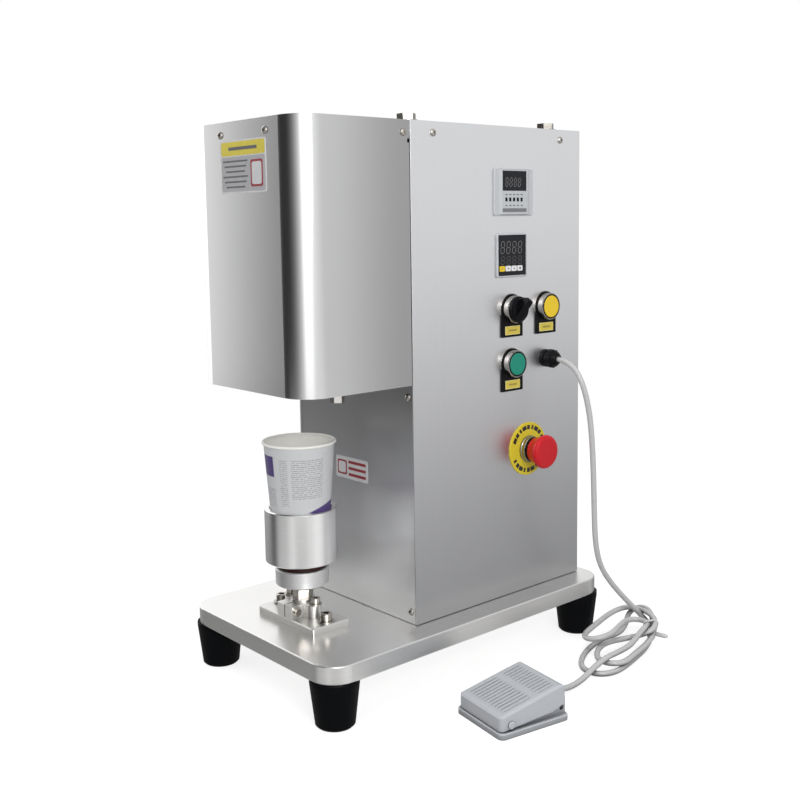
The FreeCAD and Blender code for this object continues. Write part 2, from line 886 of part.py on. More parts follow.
def heater_block():
    """Round heater block with its two cartridge heaters."""
    middle = heater_bottom + heater_height / 2
    disc = turned([(0, heater_bottom), (heater_radius, heater_bottom), (heater_radius, plate_bottom),
                   (0, plate_bottom)], press_axis)
    reach = heater_radius + 6
    bores = []
    cartridges = []
    for s in (-1, 1):
        start = V(s * cartridge_spacing / 2, press_y - heater_radius - 4, middle)
        bores.append(rod(cartridge_radius + loose_gap, 2 * reach, start, BACK))
        cartridges.append(rod(cartridge_radius, 2 * reach - 8, start + BACK * 6, BACK))
    return [without(disc, bores)] + cartridges


def sealing_die():
    """Sealing die whose raised land meets the cup's rim."""
    relief = die_bottom + die_relief
    profile = [(0, heater_bottom), (die_radius, heater_bottom), (die_radius, die_bottom + 1),
               (die_radius - 1, die_bottom), (die_land, die_bottom), (die_land - die_relief, relief),
               (0, relief)]
    return turned(profile, press_axis)


# Cup holder
def ear_screw_places():
    """The two screws that hold the shaft support to its plate."""
    return [holder_axis + V(s * ear_screw_spacing / 2, 0, 0) for s in (-1, 1)]


def mounting_plate():
    plate = slab(mount_width, mount_depth, mount_thick, 2.0, V(0, press_y, base_top))
    plate = plate.makeChamfer(mount_edge, level_edges(plate, mount_top))
    holes = [rod(m8_radius + loose_gap, 2 * mount_thick, V(p.x, p.y, base_top - 1))
             for p in mount_screw_places()]
    holes += [rod(m6_radius + loose_gap, 2 * mount_thick, V(p.x, p.y, base_top + 1))
              for p in ear_screw_places()]
    return without(plate, holes)


def shaft_support():
    """Split clamp that grips the holder's stud: hub, two ears and two lugs with a slit."""
    block_top = mount_top + support_block
    hub = rod(support_radius, support_height, V(0, press_y, mount_top))
    lugs = block((-support_radius, support_radius), (press_y - support_reach, press_y),
                 (mount_top, block_top))
    ears = slab(ear_length, ear_width, support_block, ear_width / 2 - 0.01, V(0, press_y, mount_top))
    body = joined([hub, lugs, ears])
    slit = block((-clamp_slit / 2, clamp_slit / 2), (press_y - support_reach - 1, press_y),
                 (mount_top - 1, support_top + 1))
    bore = rod(stud_radius + running_fit, support_height + 2, V(0, press_y, mount_top - 1))
    cross = rod(m5_radius + loose_gap, 4 * support_radius,
                clamp_screw_seat() + LEFT * 3 * support_radius, RIGHT)
    cuts = [slit, bore, cross]
    cuts += [rod(m6_radius + loose_gap, 2 * support_block, V(p.x, p.y, mount_top - 1))
             for p in ear_screw_places()]
    return without(body, cuts)


def clamp_screw_seat():
    """Where the clamp screw's head meets the lug."""
    return V(support_radius, press_y - clamp_screw_reach, mount_top + clamp_screw_height)


def socket_screws():
    """Cap screws and washers of the cup holder."""
    shapes = []
    for place in mount_screw_places():
        seat = V(place.x, place.y, mount_top)
        shapes.append(washer(seat, UP, m8_head_radius, m8_radius + loose_gap))
        shapes.append(cap_screw(seat + UP * washer_thick, UP, m8_head_radius, m8_head_height, m8_radius,
                                mount_thick + washer_thick + base_thick - 6))
    for place in ear_screw_places():
        seat = V(place.x, place.y, mount_top + support_block)
        shapes.append(washer(seat, UP, m6_head_radius, m6_radius + loose_gap))
        shapes.append(cap_screw(seat + UP * washer_thick, UP, m6_head_radius, m6_head_height, m6_radius,
                                support_block + washer_thick + mount_thick - 2))
    seat = clamp_screw_seat()
    shapes.append(cap_screw(seat, RIGHT, m5_head_radius, m5_head_height, m5_radius, 2 * support_radius - 3))
    return shapes


def support_stud():
    edge = 1.0
    top = mount_top + stud_height
    profile = [(0, mount_top), (stud_radius, mount_top), (stud_radius, top - edge),
               (stud_radius - edge, top), (0, top)]
    return turned(profile, holder_axis)


def lock_nut():
    nut = hexagon(lock_nut_flats, lock_nut_height, V(0, press_y, support_top))
    bore = rod(stud_radius + running_fit, 2 * lock_nut_height, V(0, press_y, support_top - 1))
    return without(nut, [bore])


def holder_ring():
    """Lower ring of the cup holder, with the neck that centres the sleeve."""
    low = base_top + ring_bottom
    top = low + ring_height
    neck_top = top + neck_height
    edge = sleeve_chamfer
    bore = stud_radius + running_fit
    profile = [(bore, low), (ring_radius - edge, low), (ring_radius, low + edge), (ring_radius, top - edge),
               (ring_radius - edge, top), (neck_radius, top), (neck_radius, neck_top), (bore, neck_top)]
    return turned(profile, holder_axis)


def o_ring():
    """Silicone seal in the gap between ring and sleeve."""
    z = base_top + ring_bottom + ring_height + seal_section + running_fit
    return Part.makeTorus(neck_radius + seal_section + running_fit, seal_section, V(0, press_y, z), UP)


def cup_radius(z):
    """Outside radius of the cup's wall at a height above the floor."""
    return cup_base_radius + cup_taper * (z - base_top - cup_bottom)


def cup_sleeve():
    """Holder sleeve bored to the cup's taper."""
    low = base_top + sleeve_bottom
    top = low + sleeve_height
    floor = base_top + cup_bottom - seat_gap
    edge = sleeve_chamfer
    seat_low = cup_radius(floor) + sliding_gap
    seat_top = cup_radius(top) + sliding_gap
    recess = neck_radius + loose_gap
    ceiling = low + sleeve_recess
    profile = [(recess, low), (sleeve_radius - edge, low), (sleeve_radius, low + edge),
               (sleeve_radius, top - edge), (sleeve_radius - edge, top), (seat_top + edge, top),
               (seat_top, top - edge), (seat_low, floor),
               (drain_radius, floor), (drain_radius, ceiling), (recess, ceiling)]
    return turned(profile, holder_axis)


def paper_cup():
    """Tapered paper cup with a rolled rim and a raised bottom."""
    low = base_top + cup_bottom
    rim_z = low + cup_height - cup_rim_section
    top_radius = cup_radius(rim_z)
    wall = cup_wall
    outline = [V(0, 0, low + cup_foot), V(cup_radius(low + cup_foot) - wall, 0, low + cup_foot),
               V(cup_base_radius - wall, 0, low), V(cup_base_radius, 0, low), V(top_radius, 0, rim_z)]
    inside = [V(top_radius - wall, 0, rim_z), V(cup_radius(low + cup_foot) - wall, 0, low + cup_foot + wall),
              V(0, 0, low + cup_foot + wall)]
    bead = V(top_radius + cup_rim_section - 2 * wall, 0, rim_z)
    outline_edges = [Part.makeLine(a, b) for a, b in zip(outline, outline[1:])]
    wire = Part.Wire(outline_edges + [Part.makeLine(outline[-1], inside[0])]
                     + [Part.makeLine(a, b) for a, b in zip(inside, inside[1:])]
                     + [Part.makeLine(inside[-1], outline[0])])
    body = Part.Face(wire).revolve(V(0, 0, 0), UP, 360)
    rim = Part.makeTorus(bead.x, cup_rim_section, V(0, 0, rim_z), UP)
    cup = joined([body, rim])
    cup.translate(holder_axis)
    return cup


# Control panel
def button_places():
    """Selector, second button and first button as (y, z)."""
    return [(button_column_y, upper_row_z), (second_column_y, upper_row_z), (button_column_y, lower_row_z)]


def on_panel(profile, y, z):
    """A turned piece on the control panel from (radius, distance out of the panel) points."""
    return turned(profile, V(cabinet_right, y, z), RIGHT)


def panel_prism(y, z, low, high, outline):
    """A face drawn in (y, z) about a place on the panel, from low to high before the panel."""
    points = [V(cabinet_right + low, y + a, z + b) for a, b in outline]
    return polygon(points).extrude(V(high - low, 0, 0))


def wheel_places():
    """Centres of the timer's number wheels as (y, z)."""
    first = timer_y + wheel_shift - (wheel_count - 1) / 2 * wheel_pitch
    z = timer_z + timer_front / 2 - wheel_drop
    return [(first + k * wheel_pitch, z) for k in range(wheel_count)]


def wheel_axis_depth():
    """How far the wheels' common axle lies before the panel."""
    return timer_front_rise - wheel_radius


def timer_case():
    """Timer in its mounting frame: a front with sloped shoulders, window pocket, wheel slots and axle."""
    frame = panel_block(timer_y, timer_z, timer_width, timer_height, 0, timer_rise, timer_corner)
    outer = [e for e in frame.Edges if abs(e.BoundBox.XMin - cabinet_right - timer_rise) < 1e-4
             and abs(e.BoundBox.XMax - cabinet_right - timer_rise) < 1e-4]
    frame = frame.makeChamfer(1.0, outer)
    reach = timer_front / 2
    top = reach - timer_shoulder
    section = [(-reach, 0), (reach, 0), (reach, timer_rise), (top, timer_front_rise),
               (-top, timer_front_rise), (-reach, timer_rise)]
    front = polygon([V(cabinet_right + x, timer_y + y, timer_z - reach) for y, x in section])
    front = front.extrude(UP * timer_front)
    half = instrument_cutout / 2
    body = block((cabinet_right - instrument_depth, cabinet_right + 0.5), (timer_y - half, timer_y + half),
                 (timer_z - half, timer_z + half))
    case = joined([frame, front, body])
    cuts = [timer_window_block(1.0, 0.0)]
    x = cabinet_right + wheel_axis_depth()
    gap = (wheel_width + 2 * seat_gap) / 2
    for y, z in wheel_places():
        cuts.append(rod(wheel_radius + sliding_gap, 2 * gap, V(x, y - gap, z), BACK))
    case = without(case, cuts)
    first = wheel_places()[0]
    last = wheel_places()[-1]
    axle = rod(wheel_axle, last[0] - first[0] + 2 * gap + 2, V(x, first[0] - gap - 1, first[1]), BACK)
    return joined([case, axle])


def timer_window_block(thick, clearance):
    """The timer's display window, or the pocket that it sits in."""
    width, height = timer_window
    y = timer_y + timer_window_shift
    top = timer_z + timer_front / 2 - timer_window_drop
    floor = cabinet_right + timer_front_rise - 1
    return block((floor, floor + thick), (y - width / 2 + clearance, y + width / 2 - clearance),
                 (top - height + clearance, top - clearance))


def timer_wheel(index):
    """One number wheel with flats for its ten numbers."""
    y, z = wheel_places()[index]
    x = cabinet_right + wheel_axis_depth()
    points = []
    for k in range(wheel_facets):
        angle = 2 * pi * (k + 0.5) / wheel_facets
        points.append(V(x + wheel_radius * cos(angle), y - wheel_width / 2, z + wheel_radius * sin(angle)))
    wheel = polygon(points).extrude(V(0, wheel_width, 0))
    bore = rod(wheel_axle + running_fit, 2 * wheel_width, V(x, y - wheel_width, z), BACK)
    return without(wheel, [bore])


def key_places():
    """Centres of the controller's keys as (y, z)."""
    first = controller_y + key_shift - (key_count - 1) / 2 * key_pitch
    z = controller_z - controller_window / 2 + key_lift
    return [(first + k * key_pitch, z) for k in range(key_count)]


def key_block(y, z, low, high, grow):
    """A key, or the hole for one, as a plate with rounded corners."""
    return panel_block(y, z, key_width + 2 * grow, key_height + 2 * grow, -low, high, 1.0 + grow)


def controller_case():
    """Temperature controller: bezel, recessed window and a pocket behind each key."""
    frame = panel_block(controller_y, controller_z, controller_size, controller_size, 0, controller_rise,
                        controller_corner)
    front = cabinet_right + controller_rise
    outer = [e for e in frame.Edges
             if abs(e.BoundBox.XMin - front) < 1e-4 and abs(e.BoundBox.XMax - front) < 1e-4]
    frame = frame.makeChamfer(1.0, outer)
    half = instrument_cutout / 2
    body = block((cabinet_right - instrument_depth, cabinet_right + 0.5),
                 (controller_y - half, controller_y + half), (controller_z - half, controller_z + half))
    case = joined([frame, body])
    reach = controller_window / 2
    pocket = block((front - pane_recess - pane_thick, front + 1),
                   (controller_y - reach, controller_y + reach),
                   (controller_z - reach, controller_z + reach))
    low = controller_rise - key_depth - key_travel - seat_gap
    keys = [key_block(y, z, low, controller_rise, sliding_gap) for y, z in key_places()]
    return without(case, [pocket] + keys)


def display_windows():
    """The dark windows of the timer and of the controller."""
    front = cabinet_right + controller_rise
    reach = controller_window / 2 - loose_gap
    pane = block((front - pane_recess - pane_thick, front - pane_recess),
                 (controller_y - reach, controller_y + reach), (controller_z - reach, controller_z + reach))
    holes = [key_block(y, z, controller_rise - 2, controller_rise + 1, sliding_gap) for y, z in key_places()]
    return [timer_window_block(0.8, loose_gap), without(pane, holes)]


def controller_key(index):
    y, z = key_places()[index]
    high = controller_rise - pane_recess + key_rise
    return key_block(y, z, controller_rise - key_depth, high, 0)


def legend_plates():
    """Black plates under the buttons: a round top over the base ring and a thicker square foot."""
    plates = []
    half = legend_width / 2
    high = bezel_floor()
    corners = [(-half, 0), (-half, -legend_drop), (half, -legend_drop), (half, 0)]
    for y, z in button_places():
        place = V(cabinet_right, y, z)
        top = rod(half, high, place, RIGHT)
        foot = panel_prism(y, z, 0, high, corners)
        recess = rod(base_ring_radius + loose_gap, base_ring_thick, place, RIGHT)
        hole = rod(button_hole, high, place, RIGHT)
        plates.append(without(joined([top, foot]), [recess, hole]))
    return plates


def bezel_floor():
    """Where the bezels stand, on base ring and legend plate."""
    return base_ring_thick + legend_thick


def button_bezels():
    """Bright base rings and bezels of the three buttons."""
    low = bezel_floor()
    inner = bezel_radius - bezel_wall
    ring = [(button_hole, 0), (base_ring_radius, 0), (base_ring_radius, base_ring_thick),
            (button_hole, base_ring_thick)]
    bezel = [(inner, low), (bezel_radius, low), (bezel_radius, bezel_rise - 0.8),
             (bezel_radius - 0.5, bezel_rise), (inner, bezel_rise)]
    shapes = []
    for y, z in button_places():
        shapes.append(on_panel(ring, y, z))
        shapes.append(on_panel(bezel, y, z))
    return shapes


def button_bodies():
    """Plastic bodies of the buttons, each with a barrel through the panel and a shroud round its cap."""
    low = bezel_floor()
    bore = cap_stem + sliding_gap
    floor = cap_rise - cap_height - button_travel - seat_gap
    top = cap_rise - 0.3
    inner = shroud_radius - shroud_wall
    profile = [(bore, -barrel_length), (barrel_radius, -barrel_length), (barrel_radius, low),
               (shroud_radius, low), (shroud_radius, top), (inner, top), (inner, floor), (bore, floor)]
    return [on_panel(profile, y, z) for y, z in button_places()]


def button_cap(index):
    """A coloured push cap with its stem."""
    y, z = button_places()[index]
    low = cap_rise - cap_height
    end = -barrel_length - 2
    profile = [(0, end), (cap_stem, end), (cap_stem, low), (cap_radius, low), (cap_radius, cap_rise - 0.5),
               (cap_radius - 0.5, cap_rise), (0, cap_rise)]
    return on_panel(profile, y, z)


def selector_knob():
    """Selector knob: a round skirt and a beak-shaped grip that rises towards its pointer end."""
    y, z = button_places()[0]
    low = cap_rise - 0.3 + seat_gap
    top = low + knob_skirt
    end = -barrel_length - 2
    skirt = on_panel([(0, end), (cap_stem, end), (cap_stem, low), (knob_radius, low),
                      (knob_radius, top - 0.8), (knob_radius - 0.8, top), (0, top)], y, z)
    reach = knob_radius - 0.6
    side = [(-reach, top - 1), (reach, top - 1), (reach, knob_height - 2.5),
            (reach - 2, knob_height - 0.4), (reach - 4, knob_height), (-reach * 0.25, knob_height - 5),
            (-reach * 0.8, top + 2.5), (-reach, top + 1)]
    face = polygon([V(h, -knob_grip / 2, s) for s, h in side])
    grip = face.extrude(V(0, knob_grip, 0))
    crown = [e for e in grip.Edges if e.Length < knob_grip + 0.01 and e.BoundBox.YLength > 1
             and e.BoundBox.XMax > top + 2]
    grip = grip.makeFillet(1.2, crown)
    cone = turned([(0, top - 1), (knob_radius - 0.9, top - 1), (knob_grip * 0.62, knob_height + 6),
                   (0, knob_height + 6)],
                  V(0, 0, 0), RIGHT)
    round_edge = knob_radius - 0.7
    grip = grip.common(turned([(0, top - 2), (round_edge, top - 2), (round_edge, knob_height + 2),
                               (0, knob_height + 2)], V(0, 0, 0), RIGHT))
    width = (-knob_radius, knob_radius)
    waist = cone.common(block((top - 1, top + 2.2), width, width))
    grip = joined([grip, waist])
    grip.rotate(V(0, 0, 0), RIGHT, -knob_angle)
    grip.translate(V(cabinet_right, y, z))
    return joined([skirt, grip])


def contact_block(y, z):
    """Contact block with its collar behind a button."""
    face = -barrel_length - contact_collar
    half = contact_size / 2
    box = block((cabinet_right + face - contact_depth, cabinet_right + face), (y - half, y + half),
                (z - half, z + half))
    collar = on_panel([(cap_stem + 2.6, face), (barrel_radius, face), (barrel_radius, -barrel_length),
                       (cap_stem + 2.6, -barrel_length)], y, z)
    return joined([box, collar])


def contact_blocks():
    return [contact_block(y, z) for y, z in button_places() + [(estop_y, estop_z)]]


def estop_plate():
    t = estop_plate_thick
    return on_panel([(button_hole, 0), (estop_plate_radius, 0), (estop_plate_radius, t - 0.4),
                     (estop_plate_radius - 0.4, t), (button_hole, t)], estop_y, estop_z)


def estop_collar():
    """Metal collar of the stop button with its barrel through the panel."""
    low = estop_plate_thick
    top = estop_collar_rise
    r = estop_collar_radius
    floor = estop_stem_rise - estop_stem_length - estop_travel - seat_gap
    bore = estop_pin_radius + sliding_gap
    inner = estop_stem_radius + sliding_gap
    profile = [(bore, -barrel_length), (barrel_radius, -barrel_length), (barrel_radius, low),
               (r, low), (r, low + 2.2), (r - 0.7, low + 3), (r - 0.7, top - 0.6),
               (r - 1.1, top), (inner, top), (inner, floor),
               (bore, floor)]
    return on_panel(profile, estop_y, estop_z)


def estop_stem():
    """Plunger of the stop button."""
    low = estop_stem_rise - estop_stem_length
    end = -barrel_length - 2
    r = estop_pin_radius
    profile = [(0, end), (r, end), (r, low), (estop_stem_radius, low), (estop_stem_radius, estop_stem_rise),
               (r, estop_stem_rise), (r, estop_pin_rise), (0, estop_pin_rise)]
    return on_panel(profile, estop_y, estop_z)


def estop_head():
    """Red mushroom head: waisted neck that flares to a rounded flat face."""
    low = estop_stem_rise + seat_gap
    top = estop_head_rise
    r = estop_head_radius
    bore = estop_pin_radius + running_fit
    inner = estop_pin_rise + seat_gap
    profile = [(bore, low), (r * 0.75, low), (r * 0.76, low + 2.5), (r * 0.82, low + 6),
               (r * 0.91, low + 9.5), (r * 0.985, low + 12), (r, low + 14),
               (r * 0.98, top - 2.4), (r * 0.93, top - 1.1),
               (r * 0.86, top - 0.4), (r * 0.72, top), (0, top), (0, inner), (bore, inner)]
    return on_panel(profile, estop_y, estop_z)


def cable_gland():
    """Black cable gland with a ridged cap nut, and its lock nut inside the cabinet."""
    r = gland_radius
    length = gland_length
    mouth = cable_radius + seat_gap
    profile = [(0, -12), (gland_thread, -12), (gland_thread, 0), (r, 0), (r, 4.5), (r - 1.2, 5),
               (r - 1.2, 7), (r - 0.4, 7.4), (r - 0.4, 14.5), (r - 1.6, 16.5),
               (gland_tip_radius, length - 0.8),
               (gland_tip_radius - 0.8, length), (mouth, length), (mouth, length - gland_mouth),
               (0, length - gland_mouth)]
    body = on_panel(profile, second_column_y, gland_z)
    place = V(cabinet_right, second_column_y, gland_z)
    ridges = []
    for k in range(12):
        angle = 2 * pi * k / 12
        centre = place + V(7.6, (r - 0.3) * cos(angle), (r - 0.3) * sin(angle))
        ridges.append(rod(0.8, 6.6, centre, RIGHT))
    body = joined([body] + ridges)
    nut = hexagon(2 * r + 2, 4.5, place + V(-sheet - 4.5, 0, 0), RIGHT)
    nut = without(nut, [rod(gland_thread + loose_gap, 8, place + V(-8, 0, 0), RIGHT)])
    return [body, nut]


def power_inlet():
    """Appliance inlet on the back: flange, socket and three blades."""
    y = cabinet_back
    width, height, thick = inlet_flange
    flange = slab(width, height, thick, 4)
    flange.Placement = FreeCAD.Placement(V(inlet_x, y, inlet_z), FreeCAD.Rotation(RIGHT, -90))
    half_width = inlet_body[0] / 2
    half_height = inlet_body[1] / 2
    depth = inlet_body[2]
    body = block((inlet_x - half_width, inlet_x + half_width), (y - depth, y + 1),
                 (inlet_z - half_height, inlet_z + half_height))
    hollow = block((inlet_x - half_width + sheet, inlet_x + half_width - sheet),
                   (y - depth + 6, y + thick + 1),
                   (inlet_z - half_height + sheet, inlet_z + half_height - sheet))
    shell = without(joined([flange, body]), [hollow])
    blades = [block((inlet_x + dx - 1, inlet_x + dx + 1), (y - depth + 5, y - 3),
                    (inlet_z + dz - 2, inlet_z + dz + 2))
              for dx, dz in ((-7, -1.5), (0, 2.5), (7, -1.5))]
    return joined([shell] + blades)


# Cable
cable_drop = [
    V(116, 132.8, 331), V(130, 132.9, 329.5), V(142.7, 134, 321), V(150, 136.3, 306.5), V(153.8, 140.2, 287),
    V(156, 144.3, 260), V(156.6, 148, 215), V(156.4, 150.3, 166), V(155.8, 153.4, 122), V(154.6, 164, 93),
    V(155.3, 182, 70), V(158.7, 200, 50), V(165, 215, 33), V(171.5, 225, 14),
]
cable_lead = [
    V(203.6, 110, 8), V(207, 92, 5), V(209.5, 73, 3.3), V(211.8, 54, 3.3), V(213.6, 35.5, 5.6),
    V(215.2, 17, 10.4), V(216.3, -1.5, 12),
]


def route_radii(points):
    """The bend radius at each inner point: as large as its two runs allow."""
    radii = []
    for before, here, after in zip(points, points[1:], points[2:]):
        coming = here - before
        going = after - here
        turn = acos(coming.dot(going) / coming.Length / going.Length)
        radii.append(0.45 * min(coming.Length, going.Length) / tan(turn / 2))
    return radii


def cable_tube(points, name):
    """A tube along straight runs joined by tangent arcs."""
    radii = route_radii(points)
    edges = []
    start = points[0]
    for i, radius in enumerate(radii):
        before, here, after = points[i:i + 3]
        coming = (here - before).normalize()
        going = (after - here).normalize()
        half_turn = acos(coming.dot(going)) / 2
        setback = radius * tan(half_turn)
        first = here - coming * setback
        last = here + going * setback
        inward = (going - coming).normalize()
        middle = here + inward * (radius / cos(half_turn) - radius)
        edges.append(Part.makeLine(start, first))
        edges.append(Part.Arc(first, middle, last).toShape())
        start = last
    edges.append(Part.makeLine(start, points[-1]))
    path = Part.Wire(edges)
    ring = Part.Wire(Part.makeCircle(cable_radius, points[0], points[1] - points[0]))
    tube = path.makePipeShell([ring], True, True)
    length = sum(e.Length for e in edges)
    print(name, "radii", [round(r, 1) for r in radii], "length", round(length, 1),
          "volume ratio", round(tube.Volume / (pi * cable_radius ** 2 * length), 4))
    return tube


def pedal_cable():
    return [cable_tube(cable_drop, "cable drop"), cable_tube(cable_lead, "cable lead")]


def loop_pad(start, end, radius, height):
    """The outside shape of one flat group of cable loops."""
    middle = (start + end) * 0.5
    across = end - start
    pad = slab(across.Length + 2 * radius, 2 * radius, height, radius - 0.01)
    pad = pad.makeFillet(2.5, level_edges(pad, height))
    turn = FreeCAD.Rotation(RIGHT, V(across.x, across.y, 0))
    pad.Placement = FreeCAD.Placement(V(middle.x, middle.y, 0), turn)
    return pad


def cable_hank():
    """The tied hank as one closed solid: a raised short loop, a long low one and the bundle at the tie."""
    upper = loop_pad(V(154, 154, 0), V(157, 218, 0), 19.5, hank_upper_height)
    lower = loop_pad(V(203, 112, 0), V(182, 204, 0), 25.0, hank_lower_height)
    waist = loop_pad(V(165, 226, 0), V(180, 216, 0), 13.0, hank_tie_height)
    return joined([upper, lower, waist])


# Foot pedal, drawn with its low end towards -Y and its cable at +Y
def in_place(shape):
    """Moves a pedal piece to where the pedal lies."""
    moved = shape.copy()
    moved.Placement = FreeCAD.Placement(pedal_centre, FreeCAD.Rotation(UP, pedal_turn)) * moved.Placement
    return moved


def side_prism(points, half_width):
    """A side profile in (y, z) carried across the pedal."""
    face = polygon([V(-half_width, y, z) for y, z in points])
    return face.extrude(V(2 * half_width, 0, 0))


def pedal_pin_place():
    """The hinge pin's (y, z) near the pedal's low end."""
    return (-pedal_length / 2 + pin_back, pin_height)


def pedal_base():
    """Tray with a lip, sloped inner walls, a floor and bosses for the hinge pin."""
    lip = slab(pedal_width, pedal_length, pedal_lip, pedal_corner)
    lip = lip.makeChamfer(0.8, level_edges(lip, pedal_lip))
    half_width = pedal_width / 2 - tray_inset
    half_length = pedal_length / 2 - tray_inset
    back = pedal_length / 2 - 0.8
    walls = side_prism([(-half_length, 0), (back, 0), (back, tray_back_height - 3.0),
                        (-half_length, tray_front_height)], half_width)
    hollow = side_prism([(-half_length + pedal_wall, pedal_wall + 1), (back - pedal_wall, pedal_wall + 1),
                         (back - pedal_wall, tray_back_height + 5),
                         (-half_length + pedal_wall, tray_back_height + 5)], half_width - pedal_wall)
    y, z = pedal_pin_place()
    bosses = [rod(4.5, 6, V(s * (half_width - 3) - 3, y, z), RIGHT) for s in (-1, 1)]
    notch = block((-half_width, half_width), (back - pedal_wall - tray_notch[0], back - pedal_wall),
                  (tray_notch[1], tray_back_height))
    tray = without(joined([lip, walls]), [hollow, notch])
    tray = joined([tray] + bosses)
    pin_hole = rod(pin_radius + running_fit, pedal_width, V(-pedal_width / 2, y, z), RIGHT)
    entry = rod(cable_radius + seat_gap, 2 * pedal_wall + 4, V(0, back + 1, pedal_cable_height), FRONT)
    return in_place(without(tray, [pin_hole, entry]))


def treadle_profile(inset):
    """Side profile of the treadle as (y, z) points, moved inwards by inset."""
    front = -pedal_length / 2 + treadle_inset + inset
    back = pedal_length / 2 - treadle_inset - inset
    return [(front, treadle_skirt - inset), (front, treadle_front_height - 2.5 - inset),
            (front + 2.5, treadle_front_height - inset), (treadle_knee[0], treadle_knee[1] - inset),
            (treadle_crown[0] - inset / 2, treadle_crown[1] - inset),
            (back - 2.5, treadle_crown[1] - 1.5 - inset),
            (back - 1.5, treadle_back_skirt - inset), (treadle_side_skirt[0], treadle_side_skirt[1] - inset)]


def treadle_top(y):
    """Height of the treadle's top at a place along its length."""
    front = -pedal_length / 2 + treadle_inset + 2.5
    knee_y, knee_z = treadle_knee
    if y < knee_y:
        return treadle_front_height + (knee_z - treadle_front_height) * (y - front) / (knee_y - front)
    return knee_z + (treadle_crown[1] - knee_z) * (y - knee_y) / (treadle_crown[0] - knee_y)


def treadle_ribs():
    """Two rows of raised grip ribs that run along the treadle."""
    ribs = []
    for low, high in rib_rows:
        inner = [y for y in (high - 1, treadle_knee[0], low + 1) if low < y < high]
        over = [(high, rib_rise * 0.3)] + [(y, rib_rise) for y in inner] + [(low, rib_rise * 0.3)]
        under = [(y, -0.5) for y in (low, treadle_knee[0], high) if low <= y <= high]
        points = [(y, treadle_top(y) + lift) for y, lift in under + over]
        for k in range(rib_count):
            x = (k - (rib_count - 1) / 2) * rib_pitch
            face = polygon([V(x - rib_width / 2, y, z) for y, z in points])
            ribs.append(face.extrude(V(rib_width, 0, 0)))
    return ribs


def pedal_treadle():
    """Hinged treadle: a thin shell with skirts, rounded shoulders and grip ribs."""
    half = pedal_width / 2 - treadle_side_inset
    solid = side_prism(treadle_profile(0), half)
    shoulders = [e for e in solid.Edges if e.BoundBox.XLength < 0.01 and e.Length > 6.0
                 and e.BoundBox.ZMin > treadle_front_height - 1.0]
    solid = solid.makeFillet(3.0, shoulders)
    length = pedal_length - 2 * treadle_inset
    solid = solid.common(slab(2 * half, length, 2 * treadle_crown[1], treadle_corner))
    hollow = side_prism(treadle_profile(pedal_wall), half - pedal_wall)
    reach = pedal_length
    below = side_prism([(-reach, -5), (reach, -5), (reach, 0.1), (-reach, 0.1)], half)
    y, z = pedal_pin_place()
    shell = without(solid, [hollow, below])
    post_x, post_y, post_z = 0.0, switch_y, switch_top() + post_clearance
    post = rod(2.5, treadle_top(post_y) - post_z - 1, V(post_x, post_y, post_z))
    shell = joined([shell, post] + treadle_ribs())
    pin_hole = rod(pin_radius + running_fit, pedal_width, V(-pedal_width / 2, y, z), RIGHT)
    slot_half, slot_depth, slot_top = treadle_slot
    slot = block((-slot_half, slot_half), (pedal_length / 2 - slot_depth, pedal_length), (0, slot_top))
    return in_place(without(shell, [pin_hole, slot]))


def pedal_pin():
    """Hinge pin with a head at each end."""
    y, z = pedal_pin_place()
    half = pedal_width / 2 - treadle_side_inset + seat_gap
    r = pin_radius
    edge = pin_head_radius
    profile = [(0, -half - pin_head), (edge - 0.5, -half - pin_head), (edge, -half - pin_head + 0.5),
               (edge, -half), (r, -half), (r, half), (edge, half), (edge, half + pin_head - 0.5),
               (edge - 0.5, half + pin_head), (0, half + pin_head)]
    return in_place(turned(profile, V(0, y, z), RIGHT))


def switch_top():
    """Height of the pedal switch's plunger."""
    return pedal_wall + 1 + switch_size[2] + switch_pin_height


def pedal_switch():
    """Snap switch on the pedal's floor."""
    length, width, height = switch_size
    low = pedal_wall + 1
    body = block((-length / 2, length / 2), (switch_y - width / 2, switch_y + width / 2),
                 (low, low + height))
    plunger = rod(switch_pin_radius, switch_pin_height + 1, V(0, switch_y, low + height - 1))
    holes = [rod(1.6, 2 * width, V(s * 9.5, switch_y - width, low + 4), BACK) for s in (-1, 1)]
    return in_place(without(joined([body, plunger]), holes))


